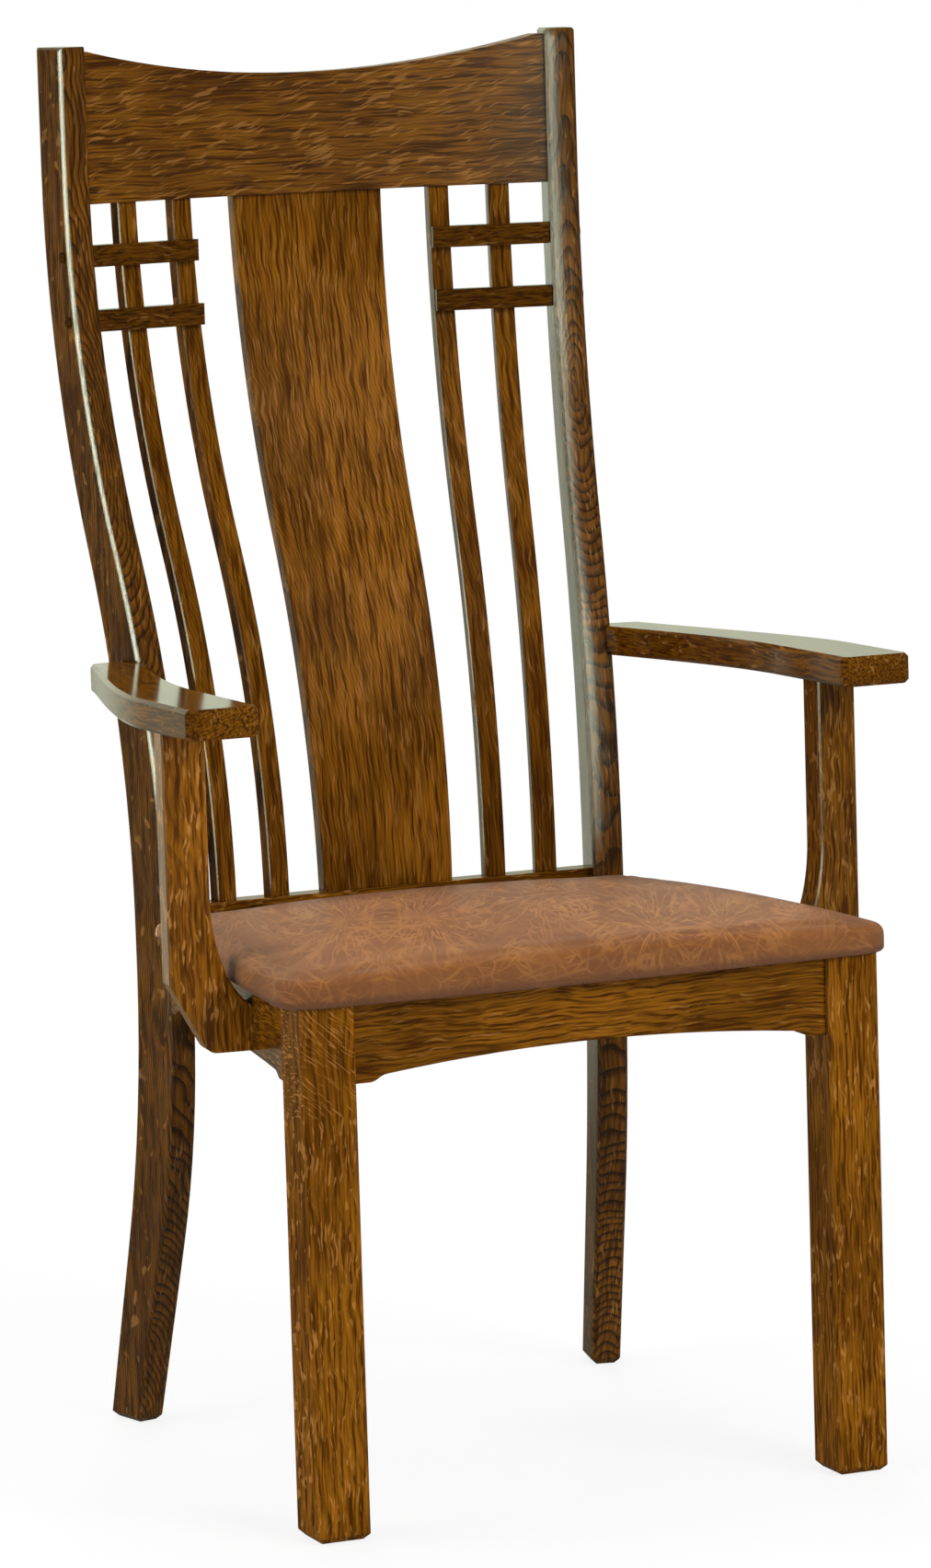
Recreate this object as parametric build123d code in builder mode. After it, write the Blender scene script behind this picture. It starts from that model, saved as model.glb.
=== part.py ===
from build123d import *
from math import atan2, cos, hypot, radians, sin, sqrt, tan
import os

# Mission dining armchair in millimetres: +Z is up, the front faces -Y, the chair mirrors across the YZ plane.

# Whole chair
chair_height = 1150.0
rail_top_height = 421.5
post_front_distance = 402.0
post_gap = 364.3
leg_spread = 494.3

# Front legs
leg_size = 44.4
foot_chamfer = 5.0
bevel_angle = 45
leg_edge = 1.5

# Back posts
post_width = 25.6
post_depth = 49.5
post_head_depth = 37.2
post_turn = radians(12.8)
front_rake = radians(16.0)
back_rake = radians(13.4)
rake_height = 155.0
front_bend_drop = 8.3
back_bend_rise = 28.2
lean_start_rise = 1.0
lean_end_drop = 102.0
lean_run = 113.0
post_edge = 2.2

# Seat rails
rail_depth = 62.5
rail_thickness = 20.0
apron_setback = 4.8
rail_setback = 2.0
apron_arch_rise = 15.2
side_arch_rise = 9.5
ogee_rise = 5.5
ogee_length = 16.0
ogee_flat = 12.0
rail_edge = 1.0
rear_rail_rise = 22.4
rear_rail_drop = 51.5
rear_rail_setback = 11.0

# Crest rail
crest_top_drop = 4.5
crest_height = 125.8
crest_scoop = 24.9
crest_scoop_flat = 5.0
crest_thickness = 20.0
crest_setback = 6.5
crest_bow = 27.8

# Back slats
slat_thickness = 12.6
narrow_slat_width = 18.4
slat_edge = 1.0
outer_slat_foot_share = 0.782
outer_slat_head_share = 0.808
inner_slat_foot_share = 0.528
inner_slat_head_share = 0.559
centre_slat_foot_share = 0.314
centre_slat_head_share = 0.322

# Lattice bars across the narrow slats
bar_height = 18.0
bar_thickness = 12.0
bar_notch = 3.0
bar_drop = 42.7
bar_pitch = 53.3
bar_end_setback = 1.0
bar_edge = 1.0

# Arms
arm_underside_height = 622.8
arm_thickness = 24.4
arm_slope = radians(0.8)
arm_edge = 3.0
arm_half_spread = 310.5
arm_front_distance = 53.0
arm_paddle_width = 60.0
arm_tail_width = 31.0
arm_tail_lap = 27.0
arm_housing = 4.0
arm_front_radius = 8.0
arm_swell_distance = 162.0
arm_waist_distance = 181.0
arm_swell_pull = 75.0
arm_waist_pull = 81.0
arm_tail_pull = 20.0

# Arm supports
support_width = 35.0
support_offset = 31.5
support_thickness = 24.0
support_front_distance = 132.0
support_foot_drop = 51.8
support_foot_height = 36.5
support_bevel_height = 56.0
support_bevel_run = 30.5
support_toe_radius = 10.0
hook_height = 122.5
hook_upper_pull = 44.0
hook_side_pull = 16.0
hook_lower_pull = 8.0
support_edge = 1.5

# Joints
tenon_thickness = 7.0
tenon_length = 15.0
tenon_root = 4.0
tenon_shoulder = 8.0
rear_tenon_length = 9.0
rear_tenon_setback = 17.5
slat_tenon_length = 12.0
slat_shoulder = 2.8
crest_tenon_shoulder = 18.0
support_tenon_width = 16.0
support_tenon_thickness = 12.0
support_tenon_height = 14.0
joint_clearance = 0.1
dowel_diameter = 8.0
dowel_length = 22.0
dowel_pitch_share = 0.5

# Screws and plugs
screw_diameter = 4.0
screw_head_diameter = 8.0
screw_head_height = 2.6
screw_drive_width = 1.2
screw_drive_depth = 1.0
screw_tip = 4.0
screw_clearance = 0.1
plug_diameter = 9.0
plug_depth = 8.0
plug_dome = 1.0
plug_seat_gap = 0.4
bar_screw_length = 42.0
block_screw_length = 24.0
block_screw_grip = 10.0
block_screw_share = 0.62
block_screw_pitch = 10.0
block_seat_screw_inset = 10.5
block_rear_screw_inset = 16.5
support_screw_length = 42.0
support_screw_pitch = 16.0
seat_screw_length = 33.0

# Corner blocks
block_height = 22.0
block_top_gap = 4.0
block_reach = 46.0
block_clearance = 0.2

# Upholstered seat
leather_thickness = 1.5
board_thickness = 9.0
cushion_front_overhang = 12.0
cushion_side_overhang = 13.0
cushion_front_bow = 7.0
cushion_post_gap = 0.8
cushion_crown_height = 31.0
cushion_crown_radius = 4200.0
cushion_crown_distance = 100.0
cushion_front_corner = 26.0
cushion_rear_corner = 12.0
cushion_roll = 9.0
cushion_tuck = 4.0
leather_return = 66.0
dust_cover_thickness = 1.0
dust_cover_lap = 14.0
staple_width = 10.0
staple_wire = 0.8
staple_leg = 7.0
staple_clearance = 0.1
staples_per_side = 5
staple_end_share = 0.12

# Every cut runs this far past the face that it opens
overrun = 5.0

# Places that follow from the sizes above
rail_bottom_height = rail_top_height - rail_depth
lean_start = rail_top_height + lean_start_rise
lean_end = chair_height - lean_end_drop
lean_height = lean_end - lean_start
crest_top = chair_height - crest_top_drop
crest_bottom = crest_top - crest_height
post_inner_x = post_gap / 2
leg_outer_x = leg_spread / 2
leg_inner_x = leg_outer_x - leg_size
crest_front_at_post = post_front_distance + lean_run * cos(post_turn) + crest_setback
overall_depth = cushion_front_overhang + crest_front_at_post + crest_bow + crest_thickness
leg_front_y = cushion_front_overhang - overall_depth / 2
leg_back_y = leg_front_y + leg_size
post_front_y = leg_front_y + post_front_distance
apron_front_y = leg_front_y + apron_setback
apron_back_y = apron_front_y + rail_thickness
rear_rail_front_y = post_front_y + rear_rail_setback
rear_rail_back_y = rear_rail_front_y + rail_thickness
rear_rail_top = rail_top_height + rear_rail_rise
rear_rail_bottom = rail_top_height - rear_rail_drop
sides = {"left": -1, "right": 1}

# Plan of the right side rail: its outer face runs from the front leg to the back post
post_outer_front_x = post_inner_x + post_width * cos(post_turn)
post_outer_front_y = post_front_y - post_width * sin(post_turn)
rail_front_x = leg_outer_x - rail_setback
rail_turn = atan2(rail_front_x - (post_outer_front_x - rail_setback / 2), post_outer_front_y - leg_back_y)
rail_axis = (-sin(rail_turn), cos(rail_turn))
rail_outward = (cos(rail_turn), sin(rail_turn))


def rail_x(y: float, inset: float = 0.0) -> float:
    """X of the right side rail's outer face at a given y, moved inwards by inset across the rail."""
    return rail_front_x - inset / cos(rail_turn) - (y - leg_back_y) * tan(rail_turn)


def post_front_line(x: float) -> float:
    """Y of the right post's front face at seat level for a given x."""
    return post_front_y - (x - post_inner_x) * tan(post_turn)


def rail_end(inset: float) -> tuple[float, float]:
    """Point where a line along the side rail meets the post's front face."""
    reach = rail_x(leg_back_y, inset) + leg_back_y * tan(rail_turn)
    slope = tan(post_turn)
    x = (reach - tan(rail_turn) * (post_front_y + post_inner_x * slope)) / (1 - tan(rail_turn) * slope)
    return x, post_front_line(x)


def turned_plane(side: int, x: float, y: float, turn: float) -> Plane:
    """Upright plane whose local x runs backwards and, by the turn, outwards; local y is up."""
    return Plane(
        origin=(side * x, y, 0),
        x_dir=(side * sin(turn), cos(turn), 0),
        z_dir=(cos(turn), -side * sin(turn), 0),
    )


def lean_at(height: float, run: float) -> float:
    """Backward travel of a leaning curve at a given height."""
    radius = (lean_height**2 + run**2) / (4 * run)
    middle = (lean_start + lean_end) / 2
    if height <= lean_start:
        return 0.0
    if height <= middle:
        return radius - sqrt(radius**2 - (height - lean_start) ** 2)
    if height <= lean_end:
        return run - radius + sqrt(radius**2 - (lean_end - height) ** 2)
    return run


def lean_curve(shift: float, run: float, low: float, high: float) -> None:
    """Draws one face of a leaning piece: straight, two arcs that swap over at mid height, straight."""
    middle = (lean_start + lean_end) / 2
    Line((shift, low), (shift, lean_start))
    TangentArc((shift, lean_start), (shift + run / 2, middle), tangent=(0, 1))
    TangentArc((shift + run, lean_end), (shift + run / 2, middle), tangent=(0, -1))
    Line((shift + run, lean_end), (shift + run, high))


class PostFace:
    """Side line of a back post's front or back face: raked foot, upright seat part, leaning S."""

    def __init__(self, shift: float, rake: float, bend_height: float, run: float) -> None:
        self.shift = shift
        self.bend_height = bend_height
        self.run = run
        self.rake = rake
        self.bend_travel = (bend_height - rake_height) * (1 - cos(rake)) / sin(rake)
        self.foot_travel = self.foot_at(0)

    def foot_at(self, height: float) -> float:
        """Backward travel of the straight foot at a height."""
        return self.bend_travel + (rake_height - height) * tan(self.rake)

    def draw(self) -> None:
        """Draws the line from the floor to the top."""
        knee = (self.shift + self.bend_travel, rake_height)
        Line((self.shift + self.foot_travel, 0), knee)
        TangentArc((self.shift, self.bend_height), knee, tangent=(0, -1))
        lean_curve(self.shift, self.run, self.bend_height, chair_height)


post_front = PostFace(0, front_rake, rail_bottom_height - front_bend_drop, lean_run)
post_back_run = lean_run + post_head_depth - post_depth
post_back = PostFace(post_depth, back_rake, rail_bottom_height + back_bend_rise, post_back_run)


def arch(half_length: float, rise: float, base: float) -> None:
    """Draws a shallow arch with an ogee at each end, closed well below its base line."""
    spring = half_length - ogee_flat - ogee_length
    crown = base + rise
    shoulder = base + ogee_rise
    radius = (spring**2 + (crown - shoulder) ** 2) / (2 * (crown - shoulder))
    slope = spring / sqrt(radius**2 - spring**2)
    pull = ogee_length / 2
    ThreePointArc((-spring, shoulder), (0, crown), (spring, shoulder))
    for side in sides.values():
        end = side * (spring + ogee_length)
        Bezier(
            (side * spring, shoulder),
            (side * (spring + pull), shoulder - pull * slope),
            (end - side * pull, base),
            (end, base),
        )
        Line((end, base), (end, base - overrun))
    Line((-spring - ogee_length, base - overrun), (spring + ogee_length, base - overrun))


def post_plane(side: int) -> Plane:
    """Plane of a back post's inner face, with local x measured back from the post's front."""
    return turned_plane(side, post_inner_x, post_front_y, post_turn)


def in_post(side: int, across: float, back: float, height: float) -> Vector:
    """World point from a distance outwards across the post, back along it, and a height."""
    x = post_inner_x + across * cos(post_turn) + back * sin(post_turn)
    y = post_front_y - across * sin(post_turn) + back * cos(post_turn)
    return Vector(side * x, y, height)


def rail_frame(side: int, y: float, height: float) -> Plane:
    """Plane on the side rail's outer face: local x runs back along the rail, local y is up."""
    return Plane(
        origin=(side * rail_x(y), y, height),
        x_dir=(side * rail_axis[0], rail_axis[1], 0),
        z_dir=(rail_outward[0], side * rail_outward[1], 0),
    )


# Mortises and tenons as boxes in the frames of the pieces that carry them
def apron_tenon(side: int, grow: float) -> None:
    """Box of the front apron's tenon in a front leg."""
    middle = (apron_front_y + apron_back_y) / 2
    height = rail_depth - 2 * tenon_shoulder
    with BuildSketch(Plane.YZ.offset(side * leg_inner_x)) as plan:
        with Locations((middle, rail_bottom_height + rail_depth / 2)):
            Rectangle(tenon_thickness + 2 * grow, height + 2 * grow)
    extrude(plan.sketch, amount=side * (tenon_length + grow), mode=Mode.SUBTRACT if grow else Mode.ADD)


def side_tenon(side: int, reach_back: float, grow: float) -> None:
    """Box of a side rail's tenon: forwards into the front leg or back into the post."""
    height = rail_depth - 2 * tenon_shoulder
    end_y = leg_back_y if reach_back < 0 else rail_end(rail_thickness / 2)[1]
    x = rail_x(end_y, rail_thickness / 2)
    frame = Plane(
        origin=(side * x, end_y, rail_bottom_height + rail_depth / 2),
        x_dir=(rail_outward[0], side * rail_outward[1], 0),
        z_dir=(side * rail_axis[0], rail_axis[1], 0),
    )
    with BuildSketch(frame) as plan:
        Rectangle(tenon_thickness + 2 * grow, height + 2 * grow)
    length = tenon_length + grow if reach_back < 0 else rear_side_tenon + grow
    extrude(plan.sketch, amount=reach_back * length, mode=Mode.SUBTRACT if grow else Mode.ADD)


def post_tenon(
    side: int, low: float, high: float, front: float, thickness: float, length: float, grow: float
) -> None:
    """Box of a cross rail's tenon in a back post's inner face."""
    with BuildSketch(post_plane(side)) as plan:
        with Locations((front + thickness / 2, (low + high) / 2)):
            Rectangle(thickness + 2 * grow, high - low + 2 * grow)
    if grow:
        extrude(plan.sketch, amount=side * (length + grow), mode=Mode.SUBTRACT)
        return
    extrude(plan.sketch, amount=side * length)
    extrude(plan.sketch, amount=-side * tenon_root)


rear_side_tenon = rear_tenon_setback - 2 * joint_clearance - tenon_thickness * sin(post_turn)
crest_tenon_front = lean_run + crest_setback + (crest_thickness - tenon_thickness) / 2
crest_tenon_low = crest_bottom + crest_tenon_shoulder
crest_tenon_high = crest_top - crest_tenon_shoulder
rear_tenon_low = rear_rail_bottom + tenon_shoulder
rear_tenon_high = rear_rail_top - tenon_shoulder


def crest_tenon(side: int, grow: float) -> None:
    """Tenon of the crest rail in a post."""
    low, high = crest_tenon_low, crest_tenon_high
    post_tenon(side, low, high, crest_tenon_front, tenon_thickness, tenon_length, grow)


def rear_tenon(side: int, grow: float) -> None:
    """Tenon of the rear seat rail in a post."""
    low, high = rear_tenon_low, rear_tenon_high
    post_tenon(side, low, high, rear_tenon_setback, tenon_thickness, rear_tenon_length, grow)


# Crest rail arc: its front face passes both posts and bows backwards between them
crest_half = post_inner_x + (lean_run + crest_setback) * sin(post_turn)
crest_front_y = leg_front_y + crest_front_at_post
crest_radius = (crest_half**2 + crest_bow**2) / (2 * crest_bow)
crest_centre_y = crest_front_y + crest_bow - crest_radius
crest_middle_radius = crest_radius + crest_thickness / 2


def crest_middle_y(x: float) -> float:
    """Y of the middle of the crest rail's thickness at a given x."""
    return crest_centre_y + sqrt(crest_middle_radius**2 - x**2)


# Slats: each stands in an upright plane from its place on the rear rail to its place under the crest
rear_rail_half = post_inner_x + rear_rail_setback * tan(post_turn)
slat_foot_y = (rear_rail_front_y + rear_rail_back_y - slat_thickness) / 2


class Slat:
    """Place, turn and backward run of one slat."""

    def __init__(self, side: int, foot_share: float, head_share: float) -> None:
        self.side = side
        self.foot_x = foot_share * rear_rail_half
        head_x = head_share * crest_half
        head_y = crest_middle_y(head_x) - slat_thickness / 2
        self.turn = atan2(head_x - self.foot_x, head_y - slat_foot_y)
        self.run = hypot(head_x - self.foot_x, head_y - slat_foot_y)
        self.plane = turned_plane(side, self.foot_x, slat_foot_y, self.turn)

    def front(self, height: float) -> tuple[float, float]:
        """X (unsigned) and y of the middle of the slat's front face at a height."""
        travel = lean_at(height, self.run)
        return self.foot_x + travel * sin(self.turn), slat_foot_y + travel * cos(self.turn)


slats = {}
for side_name, side in sides.items():
    slats["outer_slat_" + side_name] = Slat(side, outer_slat_foot_share, outer_slat_head_share)
    slats["inner_slat_" + side_name] = Slat(side, inner_slat_foot_share, inner_slat_head_share)
centre_slat_data = Slat(1, 0, 0)
centre_foot_width = 2 * centre_slat_foot_share * rear_rail_half
centre_head_width = 2 * centre_slat_head_share * crest_half


def slat_tenons(slat: Slat, foot_width: float, head_width: float, grow: float, ends: str) -> None:
    """Boxes of a slat's tenons below the rear rail's top and above the crest rail's bottom."""
    thickness = slat_thickness - 2 * slat_shoulder
    mode = Mode.SUBTRACT if grow else Mode.ADD
    low = (rear_rail_top - slat_tenon_length - grow, rear_rail_top)
    high = (crest_bottom, crest_bottom + slat_tenon_length + grow)
    for end, (bottom, top), travel, width in (
        ("foot", low, lean_at(rear_rail_top, slat.run), foot_width),
        ("head", high, lean_at(crest_bottom, slat.run), head_width),
    ):
        if end not in ends:
            continue
        with BuildSketch(slat.plane) as plan:
            with Locations((travel + slat_thickness / 2, (bottom + top) / 2)):
                Rectangle(thickness + 2 * grow, top - bottom)
        extrude(plan.sketch, amount=width / 2 - slat_shoulder + grow, both=True, mode=mode)


# Screws: a slotted head, a plain shank and a tapered tip, drawn about the axis of a plane
def screw(seat: Plane, length: float, mode: Mode = Mode.ADD, grow: float = 0.0) -> None:
    """Screw whose head sits on the plane and whose shank runs along the plane's +Z."""
    radius = screw_diameter / 2 + grow
    head = screw_head_diameter / 2 + grow
    profile = Plane(origin=seat.origin, x_dir=seat.x_dir, z_dir=-seat.y_dir)
    with BuildSketch(profile) as plan:
        with BuildLine():
            Polyline(
                (0, -screw_head_height - grow),
                (head, -screw_head_height - grow),
                (head, 0),
                (radius, 0),
                (radius, length - screw_tip),
                (0, length + grow),
                close=True,
            )
        make_face()
    revolve(plan.sketch, axis=Axis(seat.origin, seat.z_dir), mode=mode)


def screw_slot(seat: Plane) -> None:
    """Driver slot across a screw head."""
    with BuildSketch(seat.offset(-screw_head_height)) as plan:
        Rectangle(screw_head_diameter + overrun, screw_drive_width)
    extrude(plan.sketch, amount=screw_drive_depth, mode=Mode.SUBTRACT)


def bore(seat: Plane, diameter: float, start: float, end: float) -> None:
    """Round hole about a plane's axis between two distances along it."""
    with BuildSketch(seat.offset(start)) as plan:
        Circle(diameter / 2)
    extrude(plan.sketch, amount=end - start, mode=Mode.SUBTRACT)


# Lattice bars: one upper and one lower on each side
def bar_corners(side: int, height: float) -> list[tuple[float, float]]:
    """Plan of a bar at mid height: from inside the inner slat's edge to the post's inner face."""
    outer_x, outer_y = slats["outer_slat_right"].front(height)
    inner_x, inner_y = slats["inner_slat_right"].front(height)
    span = hypot(outer_x - inner_x, outer_y - inner_y)
    along = ((outer_x - inner_x) / span, (outer_y - inner_y) / span)
    back = (-along[1], along[0])
    end_back = narrow_slat_width / 2 - bar_end_setback
    post_x = post_inner_x + lean_at(height, lean_run) * sin(post_turn)
    post_y = post_front_y + lean_at(height, lean_run) * cos(post_turn)
    corners = []
    for shift in (bar_notch, bar_notch - bar_thickness):
        start_x = inner_x + shift * back[0]
        start_y = inner_y + shift * back[1]
        lead = ((post_x - start_x) * cos(post_turn) - (post_y - start_y) * sin(post_turn)) / (
            along[0] * cos(post_turn) - along[1] * sin(post_turn)
        )
        lead = lead - joint_clearance / 2
        corners.append((side * (start_x - end_back * along[0]), start_y - end_back * along[1]))
        corners.append((side * (start_x + lead * along[0]), start_y + lead * along[1]))
    return [corners[0], corners[1], corners[3], corners[2]]


bar_heights = {"upper": crest_bottom - bar_drop, "lower": crest_bottom - bar_drop - bar_pitch}


def bar_seat(side: int, height: float) -> Plane:
    """Screw seat inside a post for the bar at a height, looking inwards through the post."""
    corners = bar_corners(side, height)
    end_x = (abs(corners[1][0]) + abs(corners[2][0])) / 2
    end_y = (corners[1][1] + corners[2][1]) / 2
    back = (end_x - post_inner_x) * sin(post_turn) + (end_y - post_front_y) * cos(post_turn)
    seat = in_post(side, post_width - plug_depth, back, height)
    return Plane(origin=seat, x_dir=(0, 0, 1), z_dir=(-side * cos(post_turn), sin(post_turn), 0))


# Arm plan on the right side; the tail laps the post's outer face
arm_front_y = leg_front_y + arm_front_distance
arm_inner_x = arm_half_spread - arm_paddle_width
arm_swell_y = leg_front_y + arm_swell_distance
arm_waist_y = leg_front_y + arm_waist_distance
arm_post_travel = lean_at(arm_underside_height + arm_thickness / 2, lean_run)
arm_tail_front = in_post(1, post_width, arm_post_travel, 0)
arm_plane = Plane(
    origin=(0, arm_tail_front.Y, arm_underside_height),
    x_dir=(1, 0, 0),
    z_dir=(0, sin(arm_slope), cos(arm_slope)),
)


def arm_under(y: float) -> float:
    """Height of the arms' underside at a given y: the arms rise a little towards the front."""
    return arm_underside_height + (arm_tail_front.Y - y) * tan(arm_slope)


def arm_point(across: float, back: float) -> tuple[float, float]:
    """Point of the right arm's plan in its own plane, from its place across and along the post."""
    point = in_post(1, across, arm_post_travel + back, 0)
    return point.X, point.Y - arm_tail_front.Y


def arm_outline() -> None:
    """Draws the right arm's plan from the post's front: tail, swelling outer edge, round-cornered paddle."""
    tail_inner = arm_point(post_width - arm_housing, 0)
    tail_corner = arm_point(post_width - arm_housing, arm_tail_lap)
    tail_outer = arm_point(post_width + arm_tail_width, arm_tail_lap)
    front = arm_front_y - arm_tail_front.Y
    swell = arm_swell_y - arm_tail_front.Y
    waist = arm_waist_y - arm_tail_front.Y
    outer_turn = (arm_half_spread, front + arm_front_radius)
    inner_turn = (arm_inner_x, front + arm_front_radius)
    Polyline(tail_inner, tail_corner, tail_outer)
    Bezier(
        tail_outer,
        (tail_outer[0] + arm_swell_pull * sin(post_turn), tail_outer[1] - arm_swell_pull * cos(post_turn)),
        (arm_half_spread, swell + arm_swell_pull),
        (arm_half_spread, swell),
    )
    Line((arm_half_spread, swell), outer_turn)
    TangentArc(outer_turn, (arm_half_spread - arm_front_radius, front), tangent=(0, -1))
    Line((arm_half_spread - arm_front_radius, front), (arm_inner_x + arm_front_radius, front))
    TangentArc(inner_turn, (arm_inner_x + arm_front_radius, front), tangent=(0, -1))
    Line(inner_turn, (arm_inner_x, waist))
    Bezier(
        (arm_inner_x, waist),
        (arm_inner_x, waist + arm_waist_pull),
        (tail_inner[0] + arm_tail_pull, tail_inner[1] - arm_waist_pull),
        tail_inner,
    )


# Arm support plane: local x runs outwards from the side rail's face, local y is up
support_front_y = leg_front_y + support_front_distance


def support_plane(side: int) -> Plane:
    """Plane of an arm support's front face."""
    return Plane(
        origin=(side * rail_x(support_front_y), support_front_y, 0),
        x_dir=(side * rail_outward[0], rail_outward[1], 0),
        z_dir=(rail_outward[1], -side * rail_outward[0], 0),
    )


def support_tenon(side: int, grow: float) -> None:
    """Tenon on top of an arm support."""
    centre = support_plane(side).from_local_coords(
        Vector(support_offset + support_width / 2, 0, -side * support_thickness / 2)
    )
    head = (centre.X, centre.Y, arm_under(centre.Y))
    frame = Plane(origin=head, x_dir=support_plane(side).x_dir, z_dir=arm_plane.z_dir)
    with BuildSketch(frame) as plan:
        Rectangle(support_tenon_width + 2 * grow, support_tenon_thickness + 2 * grow)
    if grow:
        extrude(plan.sketch, amount=support_tenon_height + grow, mode=Mode.SUBTRACT)
        return
    extrude(plan.sketch, amount=support_tenon_height)
    extrude(plan.sketch, amount=-tenon_root)


def support_screw_seats(side: int) -> list[Plane]:
    """Screw seats on the side rail's inner face, behind the foot of an arm support."""
    y = support_front_y + support_thickness / 2 * rail_axis[1]
    middle = rail_top_height - support_foot_drop + support_foot_height / 2
    seats = []
    for step in (-1, 1):
        origin = (
            side * (rail_x(y) - rail_thickness * rail_outward[0]),
            y - rail_thickness * rail_outward[1],
            middle + step * support_screw_pitch / 2,
        )
        outward = (side * rail_outward[0], rail_outward[1], 0)
        seats.append(Plane(origin=origin, x_dir=(0, 0, 1), z_dir=outward))
    return seats


def dowel_seats(side: int) -> list[Plane]:
    """Axes of the two dowels that pin an arm's tail to a post, starting inside the post."""
    middle = arm_underside_height + arm_thickness / 2
    pitch = arm_thickness * dowel_pitch_share
    seats = []
    for step in (-1, 1):
        height = middle + step * pitch / 2
        travel = arm_post_travel + arm_tail_lap / 2
        start = in_post(side, post_width - arm_housing - dowel_length / 2, travel, height)
        seats.append(Plane(origin=start, x_dir=(0, 0, 1), z_dir=(side * cos(post_turn), -sin(post_turn), 0)))
    return seats


# Corner blocks: a plan for each end of the frame, drawn on the right and mirrored by its side
block_low = rail_top_height - block_top_gap - block_height
block_middle = block_low + block_height / 2


def block_plan(side: int, end: str) -> list[tuple[float, float]]:
    """Plan of a corner block from the cross rail, round the leg or post, to the side rail."""
    if end == "front":
        post_side_x = leg_inner_x
        cross_y = apron_back_y
        turn_y = leg_back_y + block_clearance
        far_y = leg_back_y + block_reach
    else:
        post_side_x = post_inner_x
        cross_y = rear_rail_front_y
        turn_y = rail_end(rail_thickness)[1] - block_clearance
        far_y = post_front_y - block_reach
    corner_x = post_side_x - block_clearance
    points = [
        (post_side_x - block_reach, cross_y),
        (corner_x, cross_y),
        (corner_x, turn_y),
        (rail_x(turn_y, rail_thickness), turn_y),
        (rail_x(far_y, rail_thickness), far_y),
    ]
    return [(side * x, y) for x, y in points]


def block_screw_seats(side: int, end: str) -> list[Plane]:
    """Seats of a block's two screws: one into the cross rail, one into the side rail."""
    if end == "front":
        cross_x = leg_inner_x - block_reach * block_screw_share
        cross = Plane(
            origin=(side * cross_x, apron_back_y + block_screw_grip, block_middle + block_screw_pitch / 2),
            x_dir=(0, 0, 1),
            z_dir=(0, -1, 0),
        )
        along_y = leg_back_y + block_reach * block_screw_share
    else:
        cross_x = post_inner_x - block_reach * block_screw_share
        cross = Plane(
            origin=(
                side * cross_x,
                rear_rail_front_y - block_screw_grip,
                block_middle + block_screw_pitch / 2,
            ),
            x_dir=(0, 0, 1),
            z_dir=(0, 1, 0),
        )
        along_y = post_front_y - block_reach * block_screw_share
    face_x = rail_x(along_y, rail_thickness)
    along = Plane(
        origin=(
            side * (face_x - block_screw_grip * rail_outward[0]),
            along_y - block_screw_grip * rail_outward[1],
            block_middle - block_screw_pitch / 2,
        ),
        x_dir=(0, 0, 1),
        z_dir=(side * rail_outward[0], rail_outward[1], 0),
    )
    return [cross, along]


def seat_screw_seat(side: int, end: str) -> Plane:
    """Seat of the screw that runs up through a corner block into the seat board."""
    if end == "front":
        x = leg_inner_x - block_seat_screw_inset
        y = leg_back_y + block_seat_screw_inset
    else:
        x = post_inner_x - block_seat_screw_inset
        y = post_front_y - block_rear_screw_inset
    return Plane(origin=(side * x, y, block_low), x_dir=(1, 0, 0), z_dir=(0, 0, 1))


ends = ("front", "rear")
shank_bore = screw_diameter + 2 * screw_clearance
head_bore = screw_head_diameter + 2 * screw_clearance


# Cushion: the leather's outside, and the same form one leather thickness smaller for what it holds
cushion_front_y = leg_front_y - cushion_front_overhang
cushion_rear_y = post_outer_front_y - cushion_post_gap
crown_y = leg_front_y + cushion_crown_distance


def cushion_form(inset: float) -> None:
    """Solid of the cushion, inset by a distance: bowed front, crowned top, rolled and tucked edges."""
    front_y = cushion_front_y + cushion_front_bow + inset
    rear_y = cushion_rear_y - inset
    front_x = rail_x(front_y) + cushion_side_overhang - inset
    rear_x = rail_x(rear_y) + cushion_side_overhang - inset
    with BuildSketch(Plane.XY.offset(rail_top_height + inset)) as plan:
        with BuildLine():
            ThreePointArc((-front_x, front_y), (0, front_y - cushion_front_bow), (front_x, front_y))
            Polyline((front_x, front_y), (rear_x, rear_y), (-rear_x, rear_y), (-front_x, front_y))
        make_face()
        corners = plan.vertices().group_by(Axis.Y)
        fillet(corners[0], cushion_front_corner - inset)
        fillet(corners[-1], cushion_rear_corner - inset)
    extrude(plan.sketch, amount=cushion_crown_height + overrun)
    top = rail_top_height + cushion_crown_height
    with Locations((0, crown_y, top - cushion_crown_radius)):
        Sphere(cushion_crown_radius - inset, mode=Mode.INTERSECT)


# Pieces from here on: each one is built, labelled and exported under its own name
pieces = {}


def keep(name: str, piece: Part) -> None:
    """Files a finished piece under its name."""
    piece.label = name
    pieces[name] = piece


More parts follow.
